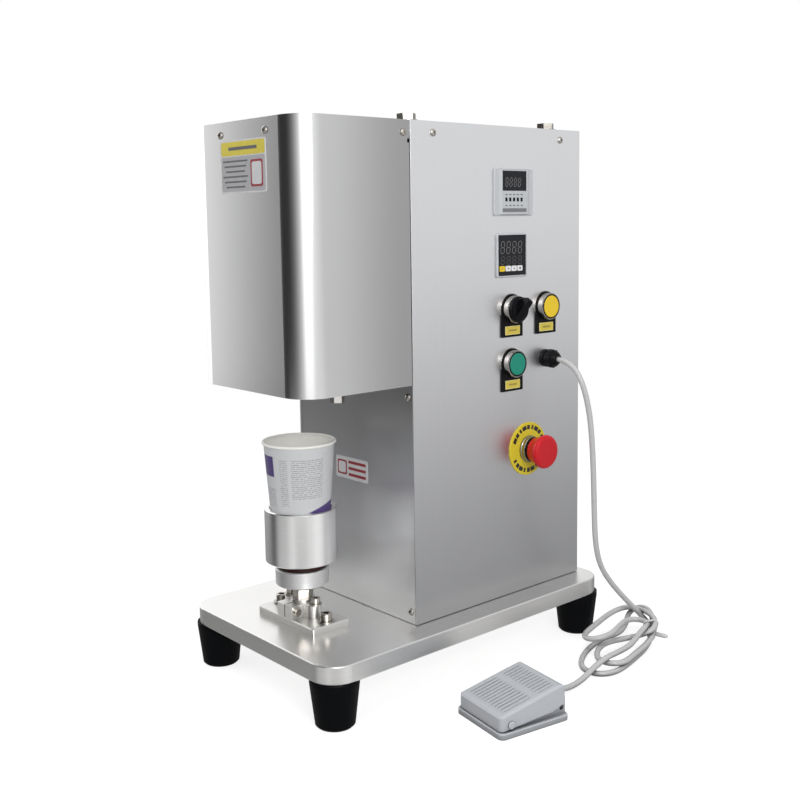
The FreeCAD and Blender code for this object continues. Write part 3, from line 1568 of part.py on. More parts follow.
def parts():
    """Every node's name and the solids in it."""
    made = {
        "base_plate": base_plate(),
        "rubber_feet": rubber_feet(),
        "hex_bolts": hex_bolts(),
        "front_panel": front_panel(),
        "right_side_panel": right_side_panel(),
        "left_side_panel": left_side_panel(),
        "back_panel": back_panel(),
        "roof_tray": roof_tray(),
        "head_cover": head_cover(),
        "panel_screws": [button_screw(seat, axis) for seat, axis in screw_places()],
        "inner_frame": inner_frame(),
        "control_gear": control_gear(),
        "power_inlet": power_inlet(),
        "cylinder_bracket": cylinder_bracket(),
        "guide_bushes": guide_bushes(),
        "air_cylinder": air_cylinder(),
        "piston_rod": piston_rod(),
        "press_plate": press_plate(),
        "guide_rods": guide_rods(),
        "heater_block": heater_block(),
        "sealing_die": sealing_die(),
        "mounting_plate": mounting_plate(),
        "shaft_support": shaft_support(),
        "socket_screws": socket_screws(),
        "support_stud": support_stud(),
        "lock_nut": lock_nut(),
        "holder_ring": holder_ring(),
        "o_ring": o_ring(),
        "cup_sleeve": cup_sleeve(),
        "paper_cup": paper_cup(),
        "timer_case": timer_case(),
        "controller_case": controller_case(),
        "display_windows": display_windows(),
        "legend_plates": legend_plates(),
        "button_bezels": button_bezels(),
        "button_bodies": button_bodies(),
        "selector_knob": selector_knob(),
        "yellow_cap": button_cap(1),
        "green_cap": button_cap(2),
        "contact_blocks": contact_blocks(),
        "estop_plate": estop_plate(),
        "estop_collar": estop_collar(),
        "estop_stem": estop_stem(),
        "estop_head": estop_head(),
        "cable_gland": cable_gland(),
        "pedal_cable": pedal_cable(),
        "cable_hank": cable_hank(),
        "pedal_base": pedal_base(),
        "pedal_treadle": pedal_treadle(),
        "pedal_pin": pedal_pin(),
        "pedal_switch": pedal_switch(),
    }
    for k in range(wheel_count):
        made[f"timer_wheel_{k + 1}"] = timer_wheel(k)
    for k in range(key_count):
        made[f"controller_key_{k + 1}"] = controller_key(k)
    return made


def main():
    os.makedirs("parts", exist_ok=True)
    for name, shape in parts().items():
        solids = shape if isinstance(shape, list) else [shape]
        whole = Part.makeCompound(solids) if len(solids) > 1 else solids[0]
        print(name, "solids", len(whole.Solids), "valid", whole.isValid(), "volume", round(whole.Volume))
        whole.exportStep(f"parts/{name}.step")


main()
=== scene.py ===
"""Look of the bench-top cup sealing machine: finishes, labels, displays, cable, lights and camera.

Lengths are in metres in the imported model's own frame: the floor is z = 0, the cup stands
at the front towards -Y and the control panel is the +X side.
"""
import json
import logging
import math
from dataclasses import dataclass
from enum import Enum

import bmesh
import bpy
from mathutils import Matrix, Vector


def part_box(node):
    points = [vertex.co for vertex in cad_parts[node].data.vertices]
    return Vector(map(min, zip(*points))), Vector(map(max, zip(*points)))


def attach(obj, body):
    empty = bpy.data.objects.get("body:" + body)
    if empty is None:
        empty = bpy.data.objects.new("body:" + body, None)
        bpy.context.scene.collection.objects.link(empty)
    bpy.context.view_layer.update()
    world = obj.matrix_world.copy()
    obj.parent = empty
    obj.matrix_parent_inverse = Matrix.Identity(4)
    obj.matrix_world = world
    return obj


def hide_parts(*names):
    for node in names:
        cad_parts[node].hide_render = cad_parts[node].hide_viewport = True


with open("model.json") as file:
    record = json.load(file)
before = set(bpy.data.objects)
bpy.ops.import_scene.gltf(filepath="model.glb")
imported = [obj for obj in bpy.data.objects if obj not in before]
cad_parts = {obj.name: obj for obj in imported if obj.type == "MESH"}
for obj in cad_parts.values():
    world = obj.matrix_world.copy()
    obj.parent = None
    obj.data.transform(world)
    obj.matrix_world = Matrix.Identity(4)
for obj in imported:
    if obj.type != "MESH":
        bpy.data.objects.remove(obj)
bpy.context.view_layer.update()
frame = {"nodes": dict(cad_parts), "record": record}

log = logging.getLogger("cup_sealer")

RGB = tuple[float, float, float]
Span = tuple[float, float]
Tree = bpy.types.NodeTree
Node = bpy.types.Node
Socket = bpy.types.NodeSocket
Material = bpy.types.Material
Piece = bpy.types.Object
Mesh = bmesh.types.BMesh
Value = Socket | float
Paint = Socket | RGB

MM = 0.001
TURN = 2 * math.pi
FLOAT = "NodeSocketFloat"
VECTOR = "NodeSocketVector"


# Node helpers
def add(tree: Tree, kind: str, inputs: dict | None = None, **options: object) -> Node:
    """Adds a node and fills in its inputs.

    Args:
        tree: the node tree that gets the node.
        kind: the node's type name.
        inputs: value or socket for each input, by name or by position.
        options: properties of the node itself.

    Returns:
        The new node.
    """
    node = tree.nodes.new(kind)
    for name, value in options.items():
        setattr(node, name, value)
    for name, value in (inputs or {}).items():
        if isinstance(value, Socket):
            tree.links.new(value, node.inputs[name])
        else:
            node.inputs[name].default_value = value
    return node


def math_node(tree: Tree, operation: str, first: Value, second: Value = 0.5, clamp: bool = False) -> Socket:
    """Adds a math node.

    Args:
        tree: the node tree that gets the node.
        operation: what it works out.
        first: its first value.
        second: its second value, where it has one.
        clamp: whether the result stays between 0 and 1.

    Returns:
        The result.
    """
    inputs = {0: first, 1: second}
    return add(tree, "ShaderNodeMath", inputs, operation=operation, use_clamp=clamp).outputs[0]


def times(tree: Tree, first: Value, second: Value) -> Socket:
    """Multiplies two values."""
    return math_node(tree, "MULTIPLY", first, second)


def scale(tree: Tree, color: Paint, factor: Value) -> Socket:
    """Makes a colour brighter or darker."""
    return add(tree, "ShaderNodeVectorMath", {0: color, "Scale": factor}, operation="SCALE").outputs[0]


def dot(tree: Tree, first: Paint, second: Paint) -> Socket:
    """Works out how far one vector runs along another."""
    return add(tree, "ShaderNodeVectorMath", {0: first, 1: second}, operation="DOT_PRODUCT").outputs["Value"]


def mix_color(tree: Tree, factor: Value, first: Paint, second: Paint) -> Socket:
    """Adds a colour mix.

    Args:
        tree: the node tree that gets the node.
        factor: how much of the second colour shows.
        first: the colour at 0.
        second: the colour at 1.

    Returns:
        The mixed colour.
    """
    inputs = {0: factor}
    for place, paint in ((6, first), (7, second)):
        inputs[place] = paint if isinstance(paint, Socket) else (*paint, 1.0)
    return add(tree, "ShaderNodeMix", inputs, data_type="RGBA").outputs[2]


class Effect:
    """A shader node group with named inputs and outputs."""

    def __init__(self, name: str, inputs: dict[str, str], outputs: dict[str, str]) -> None:
        """Makes the empty group.

        Args:
            name: the group's name.
            inputs: the kind of each input, by its title.
            outputs: the kind of each output, by its title.
        """
        self.tree = bpy.data.node_groups.new(name, "ShaderNodeTree")
        for side, sockets in (("INPUT", inputs), ("OUTPUT", outputs)):
            for title, kind in sockets.items():
                self.tree.interface.new_socket(title, in_out=side, socket_type=kind)
        self.source = self.tree.nodes.new("NodeGroupInput").outputs
        self.target = self.tree.nodes.new("NodeGroupOutput").inputs

    def give(self, title: str, socket: Socket) -> None:
        """Links a socket to one of the group's outputs."""
        self.tree.links.new(socket, self.target[title])

    def use(self, tree: Tree, **values: Value | Paint) -> Node:
        """Adds the group to a material's tree.

        Args:
            tree: the material's tree.
            values: a value or socket for each input, by its title in small letters.

        Returns:
            The group's node.
        """
        inputs = {name.title(): value for name, value in values.items()}
        return add(tree, "ShaderNodeGroup", inputs, node_tree=self.tree)


def grain_effect() -> Effect:
    """Makes fine streaks: noise that is stretched by a different scale along each axis.

    Returns:
        The effect, with a shade and a height.
    """
    effect = Effect("Grain", {"Vector": VECTOR, "Scale": VECTOR}, {"Shade": FLOAT, "Height": FLOAT})
    tree = effect.tree
    vectors = {0: effect.source["Vector"], 1: effect.source["Scale"]}
    stretched = add(tree, "ShaderNodeVectorMath", vectors, operation="MULTIPLY").outputs[0]
    fine, broad = (
        add(tree, "ShaderNodeTexNoise",
            {"Vector": stretched, "Scale": size, "Detail": detail, "Roughness": rough}).outputs[0]
        for size, detail, rough in ((1.0, 3.0, 0.65), (0.17, 2.0, 0.5))
    )
    effect.give("Shade", math_node(tree, "ADD", times(tree, fine, 0.6), times(tree, broad, 0.4)))
    effect.give("Height", fine)
    return effect


def blotch_effect() -> Effect:
    """Makes slow, faint unevenness that keeps a large face from looking flat.

    Returns:
        The effect, with a shade.
    """
    effect = Effect("Blotch", {"Vector": VECTOR, "Scale": FLOAT}, {"Shade": FLOAT})
    source = effect.source
    inputs = {"Vector": source["Vector"], "Scale": source["Scale"], "Detail": 4.0, "Roughness": 0.6}
    effect.give("Shade", add(effect.tree, "ShaderNodeTexNoise", inputs).outputs[0])
    return effect


def edge_effect() -> Effect:
    """Makes rounded edges.

    Returns:
        The effect, with a softened normal and a mask of where it differs from the true one.
    """
    effect = Effect("Edge", {"Radius": FLOAT}, {"Normal": VECTOR, "Mask": FLOAT})
    tree = effect.tree
    gain = 6.0
    soft = add(tree, "ShaderNodeBevel", {"Radius": effect.source["Radius"]}, samples=4).outputs[0]
    true = add(tree, "ShaderNodeNewGeometry").outputs["Normal"]
    bent = math_node(tree, "SUBTRACT", 1.0, dot(tree, soft, true))
    effect.give("Mask", math_node(tree, "MULTIPLY", bent, gain, clamp=True))
    effect.give("Normal", soft)
    return effect


def slope_effect() -> Effect:
    """Makes a smooth change of value along one direction of the object.

    Returns:
        The effect, with a value.
    """
    effect = Effect("Slope", {"Vector": VECTOR, "Direction": VECTOR, "Start": FLOAT, "End": FLOAT,
                              "First": FLOAT, "Last": FLOAT}, {"Value": FLOAT})
    source = effect.source
    inputs = {0: dot(effect.tree, source["Vector"], source["Direction"])}
    for place, title in enumerate(("Start", "End", "First", "Last"), 1):
        inputs[place] = source[title]
    ranged = add(effect.tree, "ShaderNodeMapRange", inputs, interpolation_type="SMOOTHSTEP")
    effect.give("Value", ranged.outputs[0])
    return effect


def band_effect() -> Effect:
    """Makes a mask that is 1 between two values and 0 outside them.

    Returns:
        The effect, with a mask.
    """
    effect = Effect("Band", {"Value": FLOAT, "Low": FLOAT, "High": FLOAT, "Soft": FLOAT}, {"Mask": FLOAT})
    tree = effect.tree
    source = effect.source
    sides = []
    for edge, sign in (("Low", 1.0), ("High", -1.0)):
        past = times(tree, math_node(tree, "SUBTRACT", source["Value"], source[edge]), sign)
        sides.append(math_node(tree, "DIVIDE", past, source["Soft"], clamp=True))
    effect.give("Mask", times(tree, *sides))
    return effect


def painted_crease_shade_effect() -> Effect:
    """Makes painted shade: a value for how open a place is, which darkens the colour in gaps and under
    neighbours.

    Returns:
        The effect, with a value of 1 on open faces and less in gaps and under neighbours.
    """
    effect = Effect("Crease", {"Distance": FLOAT, "Depth": FLOAT}, {"Value": FLOAT})
    tree = effect.tree
    reach = {"Distance": effect.source["Distance"]}
    wide = add(tree, "ShaderNodeAmbientOcclusion", reach, samples=8).outputs["AO"]
    closed = times(tree, math_node(tree, "SUBTRACT", 1.0, wide), effect.source["Depth"])
    effect.give("Value", math_node(tree, "SUBTRACT", 1.0, closed, clamp=True))
    return effect


class Texture(Enum):
    """How a surface was made."""

    BRUSHED_UPRIGHT = "streaks that run up"
    BRUSHED_LEVEL = "streaks that run level"
    TURNED = "rings from a lathe"
    GROUND = "polished with faint marks"
    MOULDED = "fine moulded skin"
    GLOSSY = "smooth moulding"
    PAINTED = "sprayed paint"
    RUBBER = "satin rubber"


GRAIN_SCALES: dict[Texture, RGB] = {
    Texture.BRUSHED_UPRIGHT: (2600.0, 2600.0, 16.0),
    Texture.BRUSHED_LEVEL: (30.0, 30.0, 2600.0),
    Texture.TURNED: (60.0, 60.0, 3600.0),
    Texture.GROUND: (300.0, 300.0, 2400.0),
    Texture.MOULDED: (1500.0, 1500.0, 1500.0),
    Texture.GLOSSY: (500.0, 500.0, 500.0),
    Texture.PAINTED: (1100.0, 1100.0, 1100.0),
    Texture.RUBBER: (1900.0, 1900.0, 1900.0),
}


@dataclass(frozen=True)
class Finish:
    """What a surface looks like.

    Args:
        color: base colour, linear.
        roughness: mean roughness.
        metallic: 1 for bare metal.
        texture: how the surface was made.
        bump: height of its grain, in metres.
        shade: how much the grain changes the colour.
        uneven: how much slow blotches change the roughness.
        edge: radius of the rounded edges, in metres.
        worn: how much brighter the edges are, as edge wear and painted highlight.
        coat: weight of a clear layer.
        specular: how strongly a plain surface mirrors.
        crease: how much painted shade darkens gaps and undersides.
    """

    color: RGB
    roughness: float
    metallic: float = 0.0
    texture: Texture = Texture.MOULDED
    bump: float = 0.00002
    shade: float = 0.1
    uneven: float = 0.08
    edge: float = 0.0003
    worn: float = 0.1
    coat: float = 0.0
    specular: float = 0.5
    crease: float = 0.0


@dataclass(frozen=True)
class PaintedShading:
    """Painted shade: a slow change of brightness over a piece, in place of shade and reflection.

    Args:
        direction: the way that it changes.
        start: where it begins along that direction, in metres.
        end: where it ends.
        first: brightness at the start.
        last: brightness at the end.
    """

    direction: RGB
    start: float
    end: float
    first: float
    last: float


class Finishes:
    """Makes materials from finishes with shared effects."""

    BLOTCH_SCALE = 22.0
    # Reach of the painted shade in gaps and under neighbours.
    CREASE_REACH = 0.012
    COAT_ROUGHNESS = 0.08

    def __init__(self) -> None:
        """Makes the shared effects."""
        self.grain = grain_effect()
        self.blotch = blotch_effect()
        self.edge = edge_effect()
        self.slope = slope_effect()
        self.band = band_effect()
        self.crease = painted_crease_shade_effect()

    def begin(self, name: str) -> tuple[Material, Node, Socket]:
        """Starts a material.

        Args:
            name: the material's name.

        Returns:
            The material, its shader and its object coordinates.
        """
        material = bpy.data.materials.new(name)
        material.use_nodes = True
        shader = material.node_tree.nodes["Principled BSDF"]
        return material, shader, add(material.node_tree, "ShaderNodeTexCoord").outputs["Object"]

    def vary(self, tree: Tree, noise: Socket, span: Span, mean: float, spread: float) -> Socket:
        """Works out a value that follows a noise.

        Args:
            tree: the material's tree.
            noise: the noise.
            span: the noise's usual lowest and highest value.
            mean: the value's mean.
            spread: the share of the mean by which it goes down and up.

        Returns:
            The value.
        """
        inputs = {0: noise, 1: span[0], 2: span[1], 3: mean * (1.0 - spread), 4: mean * (1.0 + spread)}
        return add(tree, "ShaderNodeMapRange", inputs).outputs[0]

    def surface(self, tree: Tree, shader: Node, place: Socket, finish: Finish, color: Paint) -> None:
        """Gives a shader the grain, unevenness and edges of a finish over a colour.

        Args:
            tree: the material's tree.
            shader: its shader node.
            place: object coordinates.
            finish: what the surface looks like.
            color: a colour or a socket.
        """
        grain = self.grain.use(tree, vector=place, scale=GRAIN_SCALES[finish.texture]).outputs
        blotch = self.blotch.use(tree, vector=place, scale=self.BLOTCH_SCALE).outputs["Shade"]
        edge = self.edge.use(tree, radius=finish.edge).outputs
        # Edges brighter: part edge wear, part painted highlight.
        worn = math_node(tree, "ADD", times(tree, edge["Mask"], finish.worn), 1.0)
        strength = times(tree, self.vary(tree, grain["Shade"], (0.3, 0.7), 1.0, finish.shade), worn)
        # Painted shade: the colour darkens in gaps and under neighbours.
        if finish.crease:
            crease = self.crease.use(tree, distance=self.CREASE_REACH, depth=finish.crease)
            strength = times(tree, strength, crease.outputs[0])
        relief = {"Height": grain["Height"], "Normal": edge["Normal"], "Distance": finish.bump, "Strength": 1.0}
        bump = add(tree, "ShaderNodeBump", relief)
        rough = self.vary(tree, blotch, (0.25, 0.75), finish.roughness, finish.uneven)
        tree.links.new(scale(tree, color, strength), shader.inputs["Base Color"])
        tree.links.new(rough, shader.inputs["Roughness"])
        tree.links.new(bump.outputs[0], shader.inputs["Normal"])
        for title, value in (("Metallic", finish.metallic), ("Coat Weight", finish.coat),
                             ("Specular IOR Level", finish.specular), ("Coat Roughness", self.COAT_ROUGHNESS)):
            shader.inputs[title].default_value = value

    def make(self, name: str, finish: Finish, painted_shading: PaintedShading | None = None) -> Material:
        """Makes a material with one colour.

        Args:
            name: the material's name.
            finish: what the surface looks like.
            painted_shading: painted shade, how its brightness changes over the piece, where it does.

        Returns:
            The new material.
        """
        material, shader, place = self.begin(name)
        tree = material.node_tree
        color = finish.color
        # Painted shade: the colour is scaled along one direction of the piece.
        if painted_shading:
            color = scale(tree, color, self.slope.use(tree, vector=place, **vars(painted_shading)).outputs[0])
        self.surface(tree, shader, place, finish, color)
        return material


# In these finishes, crease darkens gaps and undersides with painted shade.
STEEL = Finish((0.89, 0.895, 0.915), 0.38, 1.0, Texture.BRUSHED_UPRIGHT, 2e-6, 0.015, 0.05, 0.0006, 0.15)
HEAD = Finish((0.82, 0.82, 0.825), 0.17, 1.0, Texture.BRUSHED_UPRIGHT, 1e-6, 0.012, 0.04, 0.0005, 0.2)
PLATE = Finish((0.84, 0.835, 0.82), 0.3, 1.0, Texture.BRUSHED_LEVEL, 3e-6, 0.025, 0.06, 0.0008, 0.25)
BOLT = Finish((0.52, 0.49, 0.45), 0.24, 1.0, Texture.GROUND, 6e-6, 0.08, 0.1, 0.0003, 0.3, crease=0.6)
BLOCK = Finish((0.8, 0.79, 0.77), 0.42, 1.0, Texture.GROUND, 6e-6, 0.06, 0.1, 0.0004, 0.3, crease=0.45)
TURNED = Finish((0.88, 0.88, 0.875), 0.22, 1.0, Texture.TURNED, 5e-6, 0.04, 0.06, 0.0003, 0.2)
BEZEL = Finish((0.33, 0.315, 0.3), 0.2, 1.0, Texture.TURNED, 4e-6, 0.06, 0.1, 0.0003, 0.5)
MATT = Finish((0.7, 0.7, 0.705), 0.5, 1.0, Texture.TURNED, 4e-6, 0.04, 0.06, 0.0004, 0.25)
POLISHED = Finish((0.6, 0.58, 0.56), 0.16, 1.0, Texture.GROUND, 3e-6, 0.03, 0.1, 0.0003, 0.2)
BRONZE = Finish((0.62, 0.42, 0.2), 0.38, 1.0, Texture.TURNED, 6e-6, 0.08, 0.1, 0.0003, 0.2)
GREY_PAINT = Finish((0.2, 0.21, 0.22), 0.45, 0.0, Texture.PAINTED, 1e-5, 0.05, 0.1, 0.0004, 0.1)
RUBBER = Finish((0.002, 0.0023, 0.003), 0.5, 0.0, Texture.RUBBER, 12e-6, 0.15, 0.12, 0.0006, 0.3,
                specular=0.07)
BLACK = Finish((0.003, 0.003, 0.004), 0.38, 0.0, Texture.MOULDED, 6e-6, 0.1, 0.1, 0.0003, 0.3, specular=0.12)
GEAR = Finish((0.12, 0.12, 0.13), 0.45, 0.0, Texture.MOULDED, 1e-5, 0.08, 0.1, 0.0003, 0.2)
INSTRUMENT = Finish((0.52, 0.535, 0.555), 0.42, 0.0, Texture.MOULDED, 5e-6, 0.03, 0.08, 0.0003, 0.15,
                    specular=0.35, crease=0.7)
WINDOW = Finish((0.012, 0.0125, 0.016), 0.24, 0.0, Texture.GLOSSY, 1e-6, 0.05, 0.1, 0.0002, 0.1, specular=0.22)
YELLOW = Finish((0.82, 0.57, 0.03), 0.34, 0.0, Texture.GLOSSY, 2e-6, 0.03, 0.08, 0.0003, 0.1, specular=0.25)
LEMON = Finish((0.68, 0.55, 0.035), 0.45, 0.0, Texture.PAINTED, 3e-6, 0.04, 0.08, 0.0003, 0.1, specular=0.2)
WHITE = Finish((0.8, 0.8, 0.81), 0.3, 0.0, Texture.GLOSSY, 2e-6, 0.03, 0.1, 0.0003, 0.1, coat=0.2)
GREEN = Finish((0.012, 0.25, 0.17), 0.34, 0.0, Texture.GLOSSY, 2e-6, 0.04, 0.08, 0.0003, 0.15, specular=0.25)
RED = Finish((0.55, 0.01, 0.018), 0.3, 0.0, Texture.GLOSSY, 2e-6, 0.04, 0.08, 0.0006, 0.15, specular=0.28)
# The red silicone seal is darkened almost to black: painted shade of the gap that it sits in.
SEAL_IN_PAINTED_SHADE = Finish((0.03, 0.004, 0.003), 0.45, 0.0, Texture.RUBBER, 1e-5, 0.1, 0.1, 0.0003, 0.1, specular=0.3)
JACKET = Finish((0.52, 0.52, 0.525), 0.28, 0.0, Texture.RUBBER, 6e-6, 0.03, 0.08, 0.0002, 0.05, crease=1.1)
# The pedal's strong edge brightening is mostly painted highlight on its ribs and edges.
PEDAL = Finish((0.48, 0.497, 0.525), 0.36, 0.0, Texture.MOULDED, 8e-6, 0.03, 0.08, 0.0008, 0.9,
               specular=0.45, crease=1.0)
STRAP = Finish((0.62, 0.62, 0.62), 0.4, 0.0, Texture.GLOSSY, 2e-6, 0.04, 0.1, 0.0002, 0.1)
BOARD = Finish((0.62, 0.63, 0.645), 0.42, 0.0, Texture.MOULDED, 1e-5, 0.03, 0.1, 0.0002, 0.0, coat=0.1)

SLOT_FINISHES: dict[str, Finish] = {
    "plate_metal": PLATE,
    "black_rubber": RUBBER,
    "bolt_steel": BOLT,
    "frame_steel": GREY_PAINT,
    "gear_plastic": GEAR,
    "black_plastic": BLACK,
    "bronze": BRONZE,
    "turned_aluminium": TURNED,
    "polished_steel": POLISHED,
    "red_silicone": SEAL_IN_PAINTED_SHADE,
    "instrument_plastic": INSTRUMENT,
    "window_plastic": WINDOW,
    "yellow_plastic": YELLOW,
    "white_plastic": WHITE,
    "green_plastic": GREEN,
    "red_plastic": RED,
    "bezel_chrome": BEZEL,
    "cable_grey": JACKET,
    "pedal_grey": PEDAL,
}

NODE_FINISHES: dict[str, Finish] = {
    "estop_plate": LEMON,
    "mounting_plate": BLOCK,
    "shaft_support": BLOCK,
    "holder_ring": MATT,
    "pedal_pin": PEDAL,
}


# Mesh helpers
def link(piece: Piece) -> Piece:
    """Puts an object into the scene and hands it back."""
    bpy.context.scene.collection.objects.link(piece)
    return piece


def mesh_object(name: str, mesh: Mesh, material: Material, smooth: bool = True) -> Piece:
    """Turns mesh data into an object at the origin with one material.

    Args:
        name: the piece's name.
        mesh: the mesh data, in metres in the frame.
        material: its material.
        smooth: whether its faces are shaded smoothly up to the sharpest smooth edge.

    Returns:
        The new object.
    """
    sharpest = math.radians(35)
    data = bpy.data.meshes.new(name)
    bmesh.ops.recalc_face_normals(mesh, faces=mesh.faces)
    for edge in mesh.edges:
        edge.smooth = len(edge.link_faces) == 2 and edge.calc_face_angle(0.0) < sharpest
    for face in mesh.faces:
        face.smooth = smooth
    mesh.to_mesh(data)
    mesh.free()
    data.materials.append(material)
    return link(bpy.data.objects.new(name, data))


def skin(mesh: Mesh, rows: list[list[bmesh.types.BMVert]], capped: bool = True) -> None:
    """Joins rows of vertices, each row a closed section, by faces.

    Args:
        mesh: the mesh that holds the vertices.
        rows: the sections in order, all with the same count.
        capped: whether the first and the last section are closed by a face.
    """
    for first, second in zip(rows, rows[1:]):
        for j in range(len(first)):
            n = (j + 1) % len(first)
            mesh.faces.new((first[j], first[n], second[n], second[j]))
    if capped:
        mesh.faces.new(rows[-1])
        mesh.faces.new(list(reversed(rows[0])))


def plate(mesh: Mesh, place: Matrix, size: Span, thick: float, corner: float, edge: float) -> None:
    """Adds a thin plate with rounded corners and a bevelled front, standing on the plane of place.

    Args:
        mesh: the mesh data that gets it.
        place: its centre; local X is its width, Y its height and Z faces out.
        size: its width and height.
        thick: its thickness.
        corner: radius of its corners.
        edge: width of the bevel round its front face.
    """
    steps = 5
    smallest = 1e-5
    rows = []
    for level, inset in ((0.0, 0.0), (thick - edge, 0.0), (thick, edge)):
        row = []
        radius = max(corner - inset, smallest)
        for sx, sy, start in ((1, -1, -90), (1, 1, 0), (-1, 1, 90), (-1, -1, 180)):
            for k in range(steps + 1):
                angle = math.radians(start + 90 * k / steps)
                x = sx * (size[0] / 2 - corner) + radius * math.cos(angle)
                y = sy * (size[1] / 2 - corner) + radius * math.sin(angle)
                row.append(mesh.verts.new(place @ Vector((x, y, level))))
        rows.append(row)
    skin(mesh, rows)


def facing(point: Vector, right: Vector, up: Vector) -> Matrix:
    """Works out a frame on a surface.

    Args:
        point: its origin.
        right: the way of its X.
        up: the way of its Y.

    Returns:
        The frame, whose Z comes out of the surface.
    """
    matrix = Matrix((right, up, right.cross(up))).transposed().to_4x4()
    matrix.translation = point
    return matrix


def on_side_panel(y: float, z: float, out: float) -> Matrix:
    """A frame on the control panel: X runs to the back, Y runs up, and Z comes out of the panel."""
    point = Vector((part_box("right_side_panel")[1].x + out, y, z))
    return facing(point, Vector((0, 1, 0)), Vector((0, 0, 1)))


class Body:
    """Names of the bodies that pieces ride on."""

    MACHINE = "machine"
    WHEELS = ("wheel_1", "wheel_2", "wheel_3", "wheel_4", "wheel_5")


@dataclass(frozen=True)
class Machine:
    """Materials of the carried-over pieces that keep their shape."""

    finishes: Finishes

    def build(self) -> None:
        """Gives each piece the material of its slot, and the sheet metal its own."""
        made = {slot: self.finishes.make(slot, finish) for slot, finish in SLOT_FINISHES.items()}
        slots = {part["node"]: part["material_slot"] for part in frame["record"]["subparts"]}
        sheet = self.finishes.make("cabinet_steel", STEEL)
        own = {name: self.finishes.make(f"{name}_finish", finish) for name, finish in NODE_FINISHES.items()}
        # The head, side and front sheets carry painted shade over their steel.
        own["head_cover"] = self.head_material()
        own["right_side_panel"] = own["left_side_panel"] = self.side_material()
        own["front_panel"] = self.front_material()
        for name, piece in frame["nodes"].items():
            piece.data.materials.clear()
            piece.data.materials.append(own.get(name, made.get(slots[name], sheet)))
        log.info("dressed %d pieces", len(frame["nodes"]))

    def head_material(self) -> Material:
        """Makes the head's sheet with painted shade, a little darker where its side nears the cabinet.

        Returns:
            The material.
        """
        low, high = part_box("head_cover")
        start = low.y + 0.1 * (high.y - low.y)
        # Painted shade: darker towards the back of the head's side.
        shade = PaintedShading(direction=(0, 1, 0), start=start, end=high.y, first=1.0, last=0.6)
        return self.finishes.make("head_steel", HEAD, shade)

    def side_material(self) -> Material:
        """Makes the side panels' sheet with a painted reflection, darker towards the base.

        Returns:
            The material.
        """
        low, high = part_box("right_side_panel")
        # Painted reflection: half as bright at the bottom as at the top.
        shade = PaintedShading(direction=(0, 0, 1), start=low.z - 0.03, end=high.z - 0.06, first=0.5, last=1.0)
        return self.finishes.make("side_steel", STEEL, shade)

    def front_material(self) -> Material:
        """Makes the front panel's sheet with painted shade, darker where it runs up behind the head, in its
        shadow.

        Returns:
            The material.
        """
        start, end = (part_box(name)[0].z for name in ("front_panel", "head_cover"))
        # Painted light and shade: brighter low down, darker up under the head.
        shade = PaintedShading(direction=(0, 0, 1), start=start, end=end, first=1.12, last=0.42)
        return self.finishes.make("front_steel", STEEL, shade)


@dataclass(frozen=True)
class CupPrint:
    """The cup's print, in metres above its foot and in turns round it.

    Each block and each text is a stretch of turn and a stretch of height.
    """

    inside: RGB = (0.98, 0.965, 0.92)
    purple: RGB = (0.075, 0.045, 0.19)
    ink: RGB = (0.14, 0.14, 0.17)
    blocks: tuple[tuple[Span, Span], ...] = (((-0.36, -0.232), (0.06, 0.082)), ((0.3, 0.44), (0.04, 0.062)))
    texts: tuple[tuple[Span, Span], ...] = (
        ((-0.2, -0.155), (0.03, 0.08)), ((-0.14, 0.02), (0.038, 0.08)),
        ((-0.31, -0.23), (0.028, 0.048)), ((0.15, 0.27), (0.03, 0.074)),
    )
    turn_blur: float = 0.003
    height_blur: float = 0.0004
    line_pitch: float = 0.0021
    line: Span = (0.2, 0.75)
    line_blur: float = 0.12
    strokes: float = 220.0
    stroke_scale: float = 0.8
    inked: Span = (0.44, 2.0)
    ink_blur: float = 0.05
    strength: float = 0.62
    foot_height: float = 0.02
    foot_rise: float = 0.012
    foot_turn: float = 0.1
    rim: float = 0.0032
    rim_blur: float = 0.0003


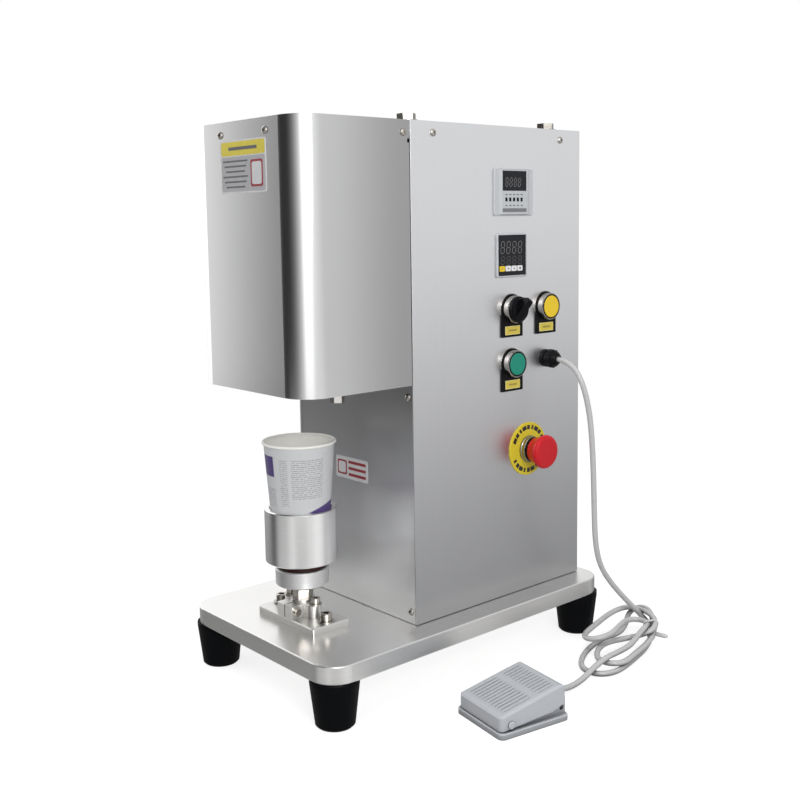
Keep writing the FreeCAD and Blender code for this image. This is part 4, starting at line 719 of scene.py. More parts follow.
class Cup:
    """The paper cup's board and print."""

    def __init__(self, finishes: Finishes, sizes: CupPrint) -> None:
        """Starts the cup's material, with the turn round the cup and the height above its foot.

        Args:
            finishes: the shared effects.
            sizes: the print's colours and places.
        """
        self.finishes = finishes
        self.sizes = sizes
        self.material, self.shader, self.place = finishes.begin("printed_cup")
        self.tree = self.material.node_tree
        low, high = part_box("paper_cup")
        self.tall = high.z - low.z
        foot = ((low.x + high.x) / 2, (low.y + high.y) / 2, low.z)
        local = add(self.tree, "ShaderNodeVectorMath", {0: self.place, 1: foot}, operation="SUBTRACT")
        self.x, self.y, self.height = add(self.tree, "ShaderNodeSeparateXYZ", {0: local.outputs[0]}).outputs
        self.turn = math_node(self.tree, "DIVIDE", math_node(self.tree, "ARCTAN2", self.y, self.x), TURN)

    def build(self) -> None:
        """Gives the cup its printed board: white inside, lilac grey outside with plain blocks and rules."""
        sizes = self.sizes
        tree = self.tree
        color = BOARD.color
        for turns, heights in sizes.blocks:
            color = mix_color(tree, self.block(turns, heights), color, sizes.purple)
        color = mix_color(tree, self.foot(), color, sizes.purple)
        for turns, heights in sizes.texts:
            color = mix_color(tree, self.rules(turns, heights), color, sizes.ink)
        rim = self.band(self.height, (self.tall - sizes.rim, 1.0), sizes.rim_blur)
        printed = times(tree, self.outside(), math_node(tree, "SUBTRACT", 1.0, rim))
        color = mix_color(tree, printed, sizes.inside, color)
        self.finishes.surface(tree, self.shader, self.place, BOARD, color)
        materials = frame["nodes"]["paper_cup"].data.materials
        materials.clear()
        materials.append(self.material)
        log.info("printed the cup")

    def band(self, value: Socket, span: Span, blur: float) -> Socket:
        """Masks a stretch of one value."""
        return self.finishes.band.use(self.tree, value=value, low=span[0], high=span[1], soft=blur).outputs[0]

    def block(self, turns: Span, heights: Span) -> Socket:
        """Masks a stretch of turn and height."""
        across = self.band(self.turn, turns, self.sizes.turn_blur)
        return times(self.tree, across, self.band(self.height, heights, self.sizes.height_blur))

    def rules(self, turns: Span, heights: Span) -> Socket:
        """Masks thin rules of uneven length in a block, in place of print.

        Args:
            turns: where the block begins and ends round the cup.
            heights: where it begins and ends above the foot.

        Returns:
            The mask.
        """
        tree = self.tree
        sizes = self.sizes
        row = math_node(tree, "DIVIDE", self.height, sizes.line_pitch)
        line = self.band(math_node(tree, "FRACT", row), sizes.line, sizes.line_blur)
        cells = add(tree, "ShaderNodeCombineXYZ", {0: times(tree, self.turn, sizes.strokes), 1: row}).outputs[0]
        noise = add(tree, "ShaderNodeTexNoise", {"Vector": cells, "Scale": sizes.stroke_scale, "Detail": 2.0})
        inked = self.band(noise.outputs[0], sizes.inked, sizes.ink_blur)
        mask = times(tree, self.block(turns, heights), line)
        return times(tree, times(tree, mask, inked), sizes.strength)

    def foot(self) -> Socket:
        """Masks the purple foot, which rises round one side.

        Returns:
            The mask.
        """
        tree = self.tree
        sizes = self.sizes
        lift = math_node(tree, "SINE", times(tree, math_node(tree, "ADD", self.turn, sizes.foot_turn), TURN))
        edge = math_node(tree, "ADD", times(tree, lift, sizes.foot_rise), sizes.foot_height)
        under = math_node(tree, "SUBTRACT", edge, self.height)
        return math_node(tree, "DIVIDE", under, sizes.height_blur, clamp=True)

    def outside(self) -> Socket:
        """Masks the faces that look away from the cup's axis.

        Returns:
            The mask.
        """
        flat = add(self.tree, "ShaderNodeCombineXYZ", {0: self.x, 1: self.y}).outputs[0]
        normal = add(self.tree, "ShaderNodeNewGeometry").outputs["Normal"]
        return math_node(self.tree, "GREATER_THAN", dot(self.tree, flat, normal), 0.001)


@dataclass(frozen=True)
class LabelSizes:
    """Places and sizes of the two bare label plates, in metres: a place is a plate's middle in X and Z."""

    head_place: Span = (0.0078, 0.5427)
    head_size: Span = (0.0797, 0.0514)
    head_band: float = 0.0145
    head_square: Span = (0.021, 0.026)
    head_frame: float = 0.0045
    head_lengths: tuple[float, ...] = (0.044, 0.039, 0.034, 0.044, 0.039, 0.034)
    head_pitch: float = 0.005
    head_rule: float = 0.0017
    panel_place: Span = (-0.0063, 0.2175)
    panel_size: Span = (0.0556, 0.0245)
    panel_square: Span = (0.0165, 0.0165)
    panel_frame: float = 0.004
    panel_lengths: tuple[float, ...] = (0.03, 0.03, 0.03)
    panel_pitch: float = 0.007
    bold_rule: float = 0.0032
    bold_length: float = 0.05
    square_share: float = 0.3
    rules_share: float = 0.17
    margin: float = 0.003
    gap: float = 0.001
    thick: float = 0.0003
    film: float = 0.00006
    bevel: float = 0.00002
    corner: float = 0.0025


class Labels:
    """Label plates with colour fields and rules, and no words or signs."""

    def __init__(self, finishes: Finishes, sizes: LabelSizes) -> None:
        """Makes the labels' materials.

        Args:
            finishes: the shared effects.
            sizes: the labels' places and sizes.
        """
        self.sizes = sizes
        foil = {"texture": Texture.GLOSSY, "bump": 1e-6, "edge": 0.00005}
        self.silver = finishes.make("label_silver", Finish((0.62, 0.62, 0.63), 0.3, **foil))
        self.yellow = finishes.make("label_yellow", Finish((0.66, 0.55, 0.05), 0.35, **foil))
        self.pale = finishes.make("label_pale", Finish((0.4, 0.4, 0.42), 0.35, **foil))
        self.ink = finishes.make("label_ink", Finish((0.11, 0.11, 0.12), 0.4, **foil))
        self.red = finishes.make("label_red", Finish((0.3, 0.03, 0.04), 0.4, **foil))

    def build(self) -> None:
        """Builds the label on the head and the one on the front panel."""
        self.head()
        self.panel()
        log.info("put on two label plates")

    def on_front(self, carrier: str, middle: Span) -> Matrix:
        """A frame on a piece's front face: X runs to the right and Y runs up."""
        point = Vector((middle[0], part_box(carrier)[0].y, middle[1]))
        return facing(point, Vector((1, 0, 0)), Vector((0, 0, 1)))

    def head(self) -> None:
        """Builds the head's label: a band over a field with rules and a square."""
        sizes = self.sizes
        place = self.on_front("head_cover", sizes.head_place)
        width, height = sizes.head_size
        inner = width - sizes.margin
        band_y = height / 2 - sizes.head_band / 2 - sizes.gap
        field_y = -sizes.head_band / 2
        self.field("head_label_plate", place, (0, 0), sizes.head_size, 0, self.silver)
        self.field("head_label_band", place, (0, band_y), (inner, sizes.head_band - sizes.gap), 1, self.yellow)
        field = (inner, height - sizes.head_band - sizes.margin)
        self.field("head_label_field", place, (0, field_y), field, 1, self.pale)
        square = (width * sizes.square_share, field_y)
        self.square("head_label_square", place, square, sizes.head_square, sizes.head_frame, 2)
        rules = (-width * sizes.rules_share, field_y)
        self.rules("head_label_rules", place, rules, sizes.head_lengths, sizes.head_pitch, sizes.head_rule, 2,
                   self.ink)
        self.rules("head_label_band_rule", place, (0, band_y), (sizes.bold_length,), 0, sizes.bold_rule, 2,
                   self.ink)

    def panel(self) -> None:
        """Builds the front panel's label: a square beside three rules."""
        sizes = self.sizes
        place = self.on_front("front_panel", sizes.panel_place)
        width = sizes.panel_size[0]
        self.field("panel_label_plate", place, (0, 0), sizes.panel_size, 0, self.silver)
        square = (-width * sizes.square_share, 0)
        self.square("panel_label_square", place, square, sizes.panel_square, sizes.panel_frame, 1)
        self.rules("panel_label_rules", place, (width * sizes.rules_share, 0), sizes.panel_lengths,
                   sizes.panel_pitch, sizes.bold_rule, 1, self.red)

    def square(self, name: str, place: Matrix, centre: Span, size: Span, border: float, layer: int) -> None:
        """Builds a red square with a silver one on it.

        Args:
            name: the red square's name.
            place: the label's frame.
            centre: the middle of both.
            size: the red square's width and height.
            border: how much smaller the silver one is.
            layer: the red one's layer.
        """
        self.field(name, place, centre, size, layer, self.red)
        inner = (size[0] - border, size[1] - border)
        self.field(f"{name}_field", place, centre, inner, layer + 1, self.silver)

    def field(self, name: str, place: Matrix, centre: Span, size: Span, layer: int,
              material: Material) -> None:
        """Builds one thin rounded field of a label.

        Args:
            name: the field's name.
            place: the label's frame.
            centre: the field's middle.
            size: its width and height.
            layer: 0 for the plate, and 1 and up for the films on it.
            material: its material.
        """
        sizes = self.sizes
        mesh = bmesh.new()
        thick = sizes.film if layer else sizes.thick
        base = sizes.thick + sizes.film * (layer - 1) if layer else 0.0
        at = place @ Matrix.Translation((*centre, base))
        plate(mesh, at, size, thick, min(sizes.corner, size[1] * 0.3), sizes.bevel)
        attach(mesh_object(name, mesh, material), Body.MACHINE)

    def rules(self, name: str, place: Matrix, centre: Span, lengths: tuple[float, ...], pitch: float,
              height: float, layer: int, material: Material) -> None:
        """Builds plain rules, one under the other.

        Args:
            name: the piece's name.
            place: the label's frame.
            centre: the middle of the stack.
            lengths: the rules' lengths, from the top.
            pitch: the distance from one rule to the next.
            height: a rule's height.
            layer: the layer that they are on.
            material: their material.
        """
        sizes = self.sizes
        mesh = bmesh.new()
        base = sizes.thick + sizes.film * (layer - 1)
        for k, length in enumerate(lengths):
            y = centre[1] + ((len(lengths) - 1) / 2 - k) * pitch
            at = place @ Matrix.Translation((centre[0], y, base))
            plate(mesh, at, (length, height), sizes.film, height * 0.2, sizes.bevel)
        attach(mesh_object(name, mesh, material), Body.MACHINE)


@dataclass(frozen=True)
class DigitRow:
    """A row of digits, in metres.

    Args:
        shift: its middle, back and up from its window's.
        pitch: the distance from one digit to the next.
        size: a digit's width and height.
    """

    shift: Span
    pitch: float
    size: Span


@dataclass(frozen=True)
class PanelSizes:
    """Sizes of the small pieces on the control panel, in metres."""

    insert: Span = (0.0232, 0.0096)
    insert_drop: float = 0.0232
    insert_thick: float = 0.0006
    insert_corners: RGB = (0.0008, 0.0004, 0.0006)
    insert_edge: float = 0.0002
    border: float = 0.0008
    insert_rule: Span = (0.55, 0.22)
    digits: int = 4
    digit_slant: float = 0.1
    segment: float = 0.00075
    segment_gap: float = 0.0012
    segment_thick: float = 0.00004
    segment_edge: float = 0.00001
    upper_row: DigitRow = DigitRow((-0.0006, 0.0085), 0.0091, (0.0052, 0.0126))
    lower_row: DigitRow = DigitRow((-0.0006, -0.0055), 0.0091, (0.0048, 0.0084))
    timer_row: DigitRow = DigitRow((-0.002, -0.0015), 0.0066, (0.0036, 0.0092))
    mark: Span = (0.003, 0.0012)
    mark_rises: Span = (0.0053, -0.0064)
    mark_thick: float = 0.00006
    mark_corner: float = 0.0003
    strip: Span = (0.0376, 0.0039)
    strip_drop: float = 0.0114
    strip_thick: float = 0.0002
    strip_corner: float = 0.0004
    key_mark: float = 0.0013
    key_mark_thick: float = 0.0001
    dash: Span = (0.16, 0.1)
    dash_growth: float = 0.06
    dash_reach: float = 0.82
    dash_corner: float = 0.0002
    pointer_width: float = 0.0074
    pointer_height: float = 0.0014
    pointer_turn: float = 30.0
    pointer_inset: float = 0.0036
    pointer_lifts: Span = (-0.0002, 0.00005)
    knob_taper: float = 0.00068
    number_ring: float = 0.0009
    number_wire: float = 0.00016
    film: float = 0.00005
    bevel: float = 0.00002


# Each segment: its side, its height and whether it lies level
SEGMENTS = ((0, 1, True), (0, 0, True), (0, -1, True), (-1, 0.5, False), (1, 0.5, False), (-1, -0.5, False),
            (1, -0.5, False))
# Each key's mark: its corners and its turn in degrees
KEY_MARKS = ((3, 0), (4, 45), (3, -30), (24, 0))


class ControlPanel:
    """Inserts, displays and small marks on the control panel."""

    def __init__(self, finishes: Finishes, sizes: PanelSizes) -> None:
        """Makes the small pieces' materials.

        Args:
            finishes: the shared effects.
            sizes: the pieces' sizes.
        """
        self.sizes = sizes
        self.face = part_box("right_side_panel")[1].x
        smooth = {"texture": Texture.GLOSSY, "bump": 1e-6, "edge": 0.0001}
        self.insert = finishes.make("insert_yellow", Finish((0.66, 0.52, 0.07), 0.45, **smooth))
        self.pale = finishes.make("insert_border", Finish((0.8, 0.7, 0.27), 0.45, **smooth))
        self.rule = finishes.make("insert_rule", Finish((0.36, 0.28, 0.05), 0.5, **smooth))
        self.unlit = finishes.make("segment_unlit", Finish((0.17, 0.17, 0.175), 0.3, **smooth))
        self.faint = finishes.make("segment_faint", Finish((0.07, 0.07, 0.073), 0.3, **smooth))
        self.dark = finishes.make("panel_mark", Finish((0.1, 0.1, 0.11), 0.45, **smooth))
        self.black = finishes.make("stop_mark_black", Finish((0.014, 0.013, 0.01), 0.5, **smooth))
        self.strip = finishes.make("panel_strip", Finish((0.17, 0.175, 0.185), 0.4, **smooth))
        self.white = finishes.make("wheel_white", Finish((0.6, 0.6, 0.6), 0.45, **smooth))

    def build(self) -> None:
        """Builds every small piece of the panel."""
        self.inserts()
        self.controller()
        self.timer()
        self.stop_marks()
        self.pointer()
        log.info("finished the control panel")

    def inserts(self) -> None:
        """Yellow legend inserts with a pale border and one plain rule each."""
        sizes = self.sizes
        width, height = sizes.insert
        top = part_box("legend_plates")[1].x - self.face
        inner = (width - 2 * sizes.border, height - 2 * sizes.border)
        rule = (width * sizes.insert_rule[0], height * sizes.insert_rule[1])
        film, bevel = sizes.film, sizes.bevel
        front = top + sizes.insert_thick
        layers = (("legend_borders", self.pale, top, sizes.insert, sizes.insert_thick, sizes.insert_edge),
                  ("legend_inserts", self.insert, front, inner, film, bevel),
                  ("legend_rules", self.rule, front + film, rule, film, bevel))
        for (name, material, out, size, thick, edge), corner in zip(layers, sizes.insert_corners):
            mesh = bmesh.new()
            for cap in ("selector_knob", "yellow_cap", "green_cap"):
                centre = sum(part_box(cap), Vector()) / 2
                place = on_side_panel(centre.y, centre.z - sizes.insert_drop, out)
                plate(mesh, place, size, thick, corner, edge)
            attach(mesh_object(name, mesh, material), Body.MACHINE)

    def row(self, name: str, window: Vector, out: float, row: DigitRow, material: Material) -> None:
        """Builds a row of unlit seven-segment digits.

        Args:
            name: the piece's name.
            window: the middle of its window.
            out: how far its window stands out of the panel.
            row: its sizes.
            material: the segments' material.
        """
        mesh = bmesh.new()
        sizes = self.sizes
        width, height = row.size
        place = on_side_panel(window.y + row.shift[0], window.z + row.shift[1], out)
        upright = Matrix.Rotation(math.pi / 2 - sizes.digit_slant, 4, "Z")
        for k in range(sizes.digits):
            middle = (k - (sizes.digits - 1) / 2) * row.pitch
            for sx, sy, level in SEGMENTS:
                y = sy * height / 2
                size = ((width if level else height / 2) - sizes.segment_gap, sizes.segment)
                at = place @ Matrix.Translation((middle + sx * width / 2 + y * sizes.digit_slant, y, 0))
                plate(mesh, at if level else at @ upright, size, sizes.segment_thick, sizes.segment * 0.45,
                      sizes.segment_edge)
        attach(mesh_object(name, mesh, material), Body.MACHINE)

    def controller(self) -> None:
        """Two rows of digits, and the marks on the keys."""
        low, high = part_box("controller_case")
        middle = (low + high) / 2
        windows = frame["nodes"]["display_windows"].data.vertices
        out = max(v.co.x for v in windows if v.co.z < high.z) - self.face
        self.row("controller_digits", middle, out, self.sizes.upper_row, self.unlit)
        self.row("controller_set_digits", middle, out, self.sizes.lower_row, self.faint)
        sizes = self.sizes
        for k, (sides, angle) in enumerate(KEY_MARKS, 1):
            low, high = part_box(f"controller_key_{k}")
            centre = (low + high) / 2
            place = on_side_panel(centre.y, centre.z, high.x - self.face)
            mesh = bmesh.new()
            turned = place @ Matrix.Rotation(math.radians(angle), 4, "Z")
            bmesh.ops.create_cone(mesh, cap_ends=True, segments=sides, radius1=sizes.key_mark,
                                  radius2=sizes.key_mark, depth=sizes.key_mark_thick, matrix=turned)
            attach(mesh_object(f"key_mark_{k}", mesh, self.dark, smooth=False), f"key_{k}")

    def timer(self) -> None:
        """The timer's digits and dark strip, and the marks round its number wheels and on them."""
        sizes = self.sizes
        windows = frame["nodes"]["display_windows"].data.vertices
        upper = [v.co for v in windows if v.co.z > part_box("controller_case")[1].z]
        centre = (Vector(map(min, zip(*upper))) + Vector(map(max, zip(*upper)))) / 2
        out = max(v.x for v in upper) - self.face
        self.row("timer_digits", centre, out, sizes.timer_row, self.unlit)
        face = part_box("timer_case")[1].x - self.face
        marks = bmesh.new()
        for k in range(len(Body.WHEELS)):
            low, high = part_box(f"timer_wheel_{k + 1}")
            wheel = (low + high) / 2
            for rise in sizes.mark_rises:
                place = on_side_panel(wheel.y, wheel.z + rise, face)
                plate(marks, place, sizes.mark, sizes.mark_thick, sizes.mark_corner, sizes.bevel)
            self.wheel_numbers(k, wheel, (high.x - low.x) / 2)
        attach(mesh_object("timer_marks", marks, self.dark), Body.MACHINE)
        strip = bmesh.new()
        middle = sum(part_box("timer_wheel_3"), Vector()) / 2
        place = on_side_panel(centre.y, middle.z - sizes.strip_drop, face)
        plate(strip, place, sizes.strip, sizes.strip_thick, sizes.strip_corner, sizes.film)
        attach(mesh_object("timer_strip", strip, self.strip), Body.MACHINE)

    def wheel_numbers(self, index: int, centre: Vector, radius: float) -> None:
        """Builds a small raised ring on each flat of a number wheel.

        Args:
            index: the wheel's place in the row, from 0.
            centre: its centre.
            radius: its radius over the corners.
        """
        sizes = self.sizes
        flats = 10
        name = f"wheel_numbers_{index + 1}"
        tree = bpy.data.node_groups.new(name, "GeometryNodeTree")
        for title, kind in (("Count", "NodeSocketInt"), ("Radius", FLOAT), ("Ring", FLOAT)):
            tree.interface.new_socket(title, in_out="INPUT", socket_type=kind)
        tree.interface.new_socket("Geometry", in_out="OUTPUT", socket_type="NodeSocketGeometry")
        source = tree.nodes.new("NodeGroupInput").outputs
        circle = add(tree, "GeometryNodeMeshCircle", {"Vertices": source["Count"], "Radius": source["Radius"]})
        ring = add(tree, "GeometryNodeCurvePrimitiveCircle", {"Radius": source["Ring"], "Resolution": 12})
        wire = add(tree, "GeometryNodeCurvePrimitiveCircle", {"Radius": sizes.number_wire, "Resolution": 5})
        number = add(tree, "GeometryNodeCurveToMesh", {0: ring.outputs[0], 1: wire.outputs[0]})
        outward = add(tree, "GeometryNodeInputPosition").outputs[0]
        aim = add(tree, "FunctionNodeAlignEulerToVector", {"Vector": outward}, axis="Z")
        spread = add(tree, "GeometryNodeInstanceOnPoints",
                     {"Points": circle.outputs[0], "Instance": number.outputs[0], "Rotation": aim.outputs[0],
                      "Scale": (0.75, 1.3, 0.5)})
        real = add(tree, "GeometryNodeRealizeInstances", {0: spread.outputs[0]})
        paint = add(tree, "GeometryNodeSetMaterial", {0: real.outputs[0], "Material": self.white})
        tree.links.new(paint.outputs[0], tree.nodes.new("NodeGroupOutput").inputs[0])
        values = {"Count": flats, "Radius": radius * math.cos(math.pi / flats), "Ring": sizes.number_ring}
        place = Matrix.Translation(centre) @ Matrix.Rotation(math.pi / 2, 4, "X")
        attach(grown(name, tree, values, place), Body.WHEELS[index])

    def stop_marks(self) -> None:
        """Plain black arcs and dashes round the stop button's disc."""
        sizes = self.sizes
        low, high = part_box("estop_plate")
        centre = (low + high) / 2
        radius = (high.z - low.z) / 2
        place = on_side_panel(centre.y, centre.z, high.x - self.face)
        mesh = bmesh.new()
        dashes = 9
        for start, end in ((200, 340), (20, 160)):
            for k in range(dashes):
                angle = math.radians(start + (end - start) * (k + 0.5) / dashes)
                reach = Matrix.Translation((radius * sizes.dash_reach, 0, 0))
                size = (radius * sizes.dash[0], radius * (sizes.dash[1] + sizes.dash_growth * (k % 3)))
                at = place @ Matrix.Rotation(angle, 4, "Z") @ reach
                plate(mesh, at, size, sizes.film, sizes.dash_corner, sizes.bevel)
        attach(mesh_object("stop_marks", mesh, self.black), Body.MACHINE)

    def pointer(self) -> None:
        """A white line across the end of the selector knob's grip."""
        sizes = self.sizes
        low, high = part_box("selector_knob")
        centre = (low + high) / 2
        radius = (high.z - low.z) / 2 - sizes.knob_taper
        reach = sizes.pointer_width / 2 / radius
        inner, outer = sizes.pointer_lifts
        tall = sizes.pointer_height
        mesh = bmesh.new()
        rows = []
        for k in range(-4, 5):
            angle = math.radians(sizes.pointer_turn) + reach * k / 4
            row = []
            for lift, drop in ((inner, 0.0), (outer, 0.0), (outer, tall), (inner, tall)):
                y = centre.y + (radius + lift) * math.sin(angle)
                z = centre.z + (radius + lift) * math.cos(angle)
                row.append(mesh.verts.new((high.x - sizes.pointer_inset - drop, y, z)))
            rows.append(row)
        skin(mesh, rows)
        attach(mesh_object("selector_pointer", mesh, self.white), "selector")


def grown(name: str, tree: Tree, values: dict[str, float], place: Matrix) -> Piece:
    """Makes a plain mesh object from a geometry node tree.

    Args:
        name: the piece's name.
        tree: the geometry nodes.
        values: a value for each of the tree's named inputs.
        place: where the piece stands in the frame.

    Returns:
        The new object at the origin, with no modifier left on it.
    """
    carrier = link(bpy.data.objects.new(name, bpy.data.meshes.new(name)))
    modifier = carrier.modifiers.new("grow", "NODES")
    modifier.node_group = tree
    for item in tree.interface.items_tree:
        if item.item_type == "SOCKET" and item.in_out == "INPUT" and item.name in values:
            modifier[item.identifier] = values[item.name]
    bpy.context.view_layer.update()
    evaluated = carrier.evaluated_get(bpy.context.evaluated_depsgraph_get())
    data = bpy.data.meshes.new_from_object(evaluated)
    bpy.data.objects.remove(carrier)
    data.transform(place)
    return link(bpy.data.objects.new(name, data))


@dataclass(frozen=True)
class CableSizes:
    """Size and route of the pedal's cable: metres, and millimetres for the control points of its spline."""

    diameter: float = 0.0062
    drop: tuple[RGB, ...] = (
        (116, 132.8, 331), (130, 132.9, 329.5), (142.7, 134, 321), (150, 136.3, 306.5), (153.8, 140.2, 287),
        (156, 144.3, 260), (156.6, 148, 215), (156.4, 150.3, 166), (155.8, 153.4, 122), (154.6, 164, 93),
        (155.3, 182, 70), (158.7, 200, 50), (165, 215, 33), (171.5, 225, 20),
    )
    hank: tuple[RGB, ...] = (
        (180.5, 226, 13), (189.5, 217, 9.5), (197, 202, 6), (204.5, 181, 3.5), (211, 156, 3.3),
        (216.5, 133, 3.3), (219.5, 115, 3.3), (217.5, 101, 3.3), (210.5, 91.5, 3.3), (200, 88.5, 3.3),
        (188.5, 92, 3.3), (177.5, 102.5, 3.3), (167, 120, 3.3), (158.5, 142, 3.3), (154, 164, 3.3),
        (155, 184, 3.8), (157.5, 199, 6), (155.5, 209.5, 9), (151.5, 218.5, 12), (147.6, 226, 16.5),
        (149, 232, 21.5), (154.5, 235.3, 25.8), (163.5, 235.7, 28.2), (173, 233, 28), (183, 226, 23.5),
        (192.5, 214.5, 17.5), (202.5, 198, 12), (208.5, 174.5, 9.8), (214, 150, 9.8), (219, 131, 9.8),
        (218, 118, 9.8), (210, 109.5, 9.8), (198.5, 109, 9.8), (187.5, 117, 9.8), (178, 132, 9.8),
        (173, 149, 9.8), (174.5, 164, 9.8), (181, 178, 10.5), (190.5, 188.5, 13.5), (200, 197.5, 18.8),
        (201.2, 207.5, 24), (191.5, 217.5, 27.7), (178, 224, 28.7), (165, 227.5, 28), (153, 228.5, 27.5),
        (143.5, 224.5, 25.5), (138.5, 214, 23), (138, 198, 20.5), (141, 178, 18), (145, 159, 16.8),
        (150, 143.5, 16.8), (156, 135, 17.2), (164.5, 130.8, 18.2), (173, 133.3, 19.8), (178.5, 141, 21.5),
        (181, 154, 23.5), (176, 170, 24.5), (170.5, 185, 23.6), (168, 196.5, 23.3), (169.5, 204.8, 23),
        (175, 210.7, 22.8), (182.8, 212, 22.6), (190, 208.4, 22.6), (193.5, 201.5, 23), (195, 193, 22.8),
        (197.5, 180, 19.5), (205.5, 154, 16.3),
    )
    lead: tuple[RGB, ...] = (
        (208, 128, 16.2), (207.5, 109, 16), (206, 91, 10), (207, 73, 4), (210.5, 54, 3.3), (213.6, 35.5, 5.6),
        (215.2, 17, 10.4), (216.3, -1.5, 12),
    )
    length: float = 1.46


@dataclass(frozen=True)
class TieSizes:
    """The hank's tie, in millimetres from its own centre, and in metres for the knot's own sizes.

    Args:
        place: its centre, from the frame's origin.
        along: the way that the hank runs through it.
        strands: where the strands' middle lines cross it, across and up.
        section: the strap's section, along the hank and out from the strands.
        inside: from a strand's middle line to the strap.
        ring_steps: the number of sections round the ring.
        knot: the knot's middle, across and up.
        knot_size: its width and height.
        knot_thick: its thickness.
        knot_corner: radius of its corners.
        knot_edge: width of its bevel.
        end: where the free end begins.
        end_run: how far it runs.
        end_size: half its section.
        end_scales: the size of each of its sections.
        end_sides: the number of sides of its section.
    """

    place: RGB = (191.5, 208.0, 15.0)
    along: RGB = (0.5, -0.86, -0.1)
    strands: tuple[Span, ...] = ((2.3, -7.2), (4.2, 1.1), (6.2, 10.0), (-2.3, 7.7))
    section: tuple[Span, ...] = ((-1.7, 0.0), (-1.6, 0.9), (-0.7, 1.3), (0.7, 1.3), (1.6, 0.9), (1.7, 0.0))
    inside: float = 3.15
    ring_steps: int = 48
    knot: Span = (6.2, -4.0)
    knot_size: Span = (0.0066, 0.0066)
    knot_thick: float = 0.0042
    knot_corner: float = 0.0018
    knot_edge: float = 0.0012
    end: RGB = (7.0, 3.8, -3.2)
    end_run: RGB = (14.5, 1.2, 0.6)
    end_size: Span = (2.9, 2.5)
    end_scales: tuple[float, ...] = (1.0, 1.0, 1.0, 1.0, 1.0, 1.0, 1.0, 1.0, 0.88, 0.5)
    end_sides: int = 12


@dataclass(frozen=True)
class Cable:
    """The pedal's cable: one smooth line from the gland through the hank to the pedal, with its tie."""

    finishes: Finishes
    sizes: CableSizes = CableSizes()
    tie_sizes: TieSizes = TieSizes()

    def build(self) -> None:
        """Builds the cable and its tie in place of the plain solids."""
        sizes = self.sizes
        data = bpy.data.curves.new("pedal_cable_line", "CURVE")
        data.dimensions = "3D"
        data.bevel_depth = sizes.diameter / 2
        data.bevel_resolution = 4
        data.resolution_u = 8
        points = [Vector(p) * MM for p in sizes.drop + sizes.hank + sizes.lead]
        spline = data.splines.new("NURBS")
        spline.points.add(len(points) - 1)
        for point, place in zip(spline.points, points):
            point.co = (*place, 1.0)
        spline.order_u = 3
        spline.use_endpoint_u = True
        data.materials.append(self.finishes.make("cable_jacket", JACKET))
        cable = link(bpy.data.objects.new("pedal_cable_line", data))
        tie = self.tie()
        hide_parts("pedal_cable", "cable_hank")
        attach(cable, Body.MACHINE)
        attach(tie, Body.MACHINE)
        log.info("laid the cable with %d control points", len(points))

    def tie(self) -> Piece:
        """Builds a pale tie round the hank's waist, with its knot and a short free end.

        Returns:
            The tie as one object.
        """
        sizes = self.tie_sizes
        mesh = bmesh.new()
        centre = Vector(sizes.place) * MM
        along = Vector(sizes.along).normalized()
        across = Vector((0, 0, 1)).cross(along).normalized()
        up = along.cross(across)
        ring = []
        for k in range(sizes.ring_steps):
            angle = TURN * k / sizes.ring_steps
            out = Vector((math.cos(angle), math.sin(angle)))
            near = max((Vector(strand) for strand in sizes.strands), key=out.dot)
            row = []
            for side, lift in sizes.section:
                place = near + out * (sizes.inside + lift)
                row.append(mesh.verts.new(centre + (across * place.x + up * place.y + along * side) * MM))
            ring.append(row)
        skin(mesh, ring + ring[:1], capped=False)
        knot = facing(centre + (across * sizes.knot[0] + up * sizes.knot[1]) * MM, along, up)
        plate(mesh, knot, sizes.knot_size, sizes.knot_thick, sizes.knot_corner, sizes.knot_edge)
        free = []
        for k, size in enumerate(sizes.end_scales):
            share = k / (len(sizes.end_scales) - 1)
            middle = centre + (Vector(sizes.end) + Vector(sizes.end_run) * share) * MM
            angles = (TURN * n / sizes.end_sides for n in range(sizes.end_sides))
            wide, high = (half * size for half in sizes.end_size)
            free.append([mesh.verts.new(middle + Vector((0.0, math.cos(a) * wide, math.sin(a) * high)) * MM)
                         for a in angles])
        skin(mesh, free)
        return mesh_object("cable_tie", mesh, self.finishes.make("tie_plastic", STRAP))


@dataclass(frozen=True)
class Lamp:
    """A soft box.

    Args:
        name: the lamp's name.
        place: its centre, in metres.
        target: the point that it faces.
        size: the length of its sides.
        power: its power in watts.
    """

    name: str
    place: RGB
    target: RGB
    size: float
    power: float


KEY = Lamp("key", (1.75, -0.8, 1.05), (0.05, 0.0, 0.2), 0.8, 19.0)
FILL = Lamp("fill", (-1.3, -1.3, 1.2), (0.0, -0.1, 0.25), 1.0, 4.0)
TOP = Lamp("top", (0.3, -0.3, 2.0), (0.1, 0.0, 0.2), 1.1, 11.0)


@dataclass(frozen=True)
class CameraSizes:
    """The fitted camera: metres, degrees, millimetres."""

    place: RGB = (0.90166, -0.78406, 0.48619)
    yaw: float = 48.988
    pitch: float = 6.798
    roll: float = -0.831
    lens: float = 48.168
    sensor: float = 36.0
    shift_y: float = -0.0625
    near: float = 0.05
    far: float = 20.0


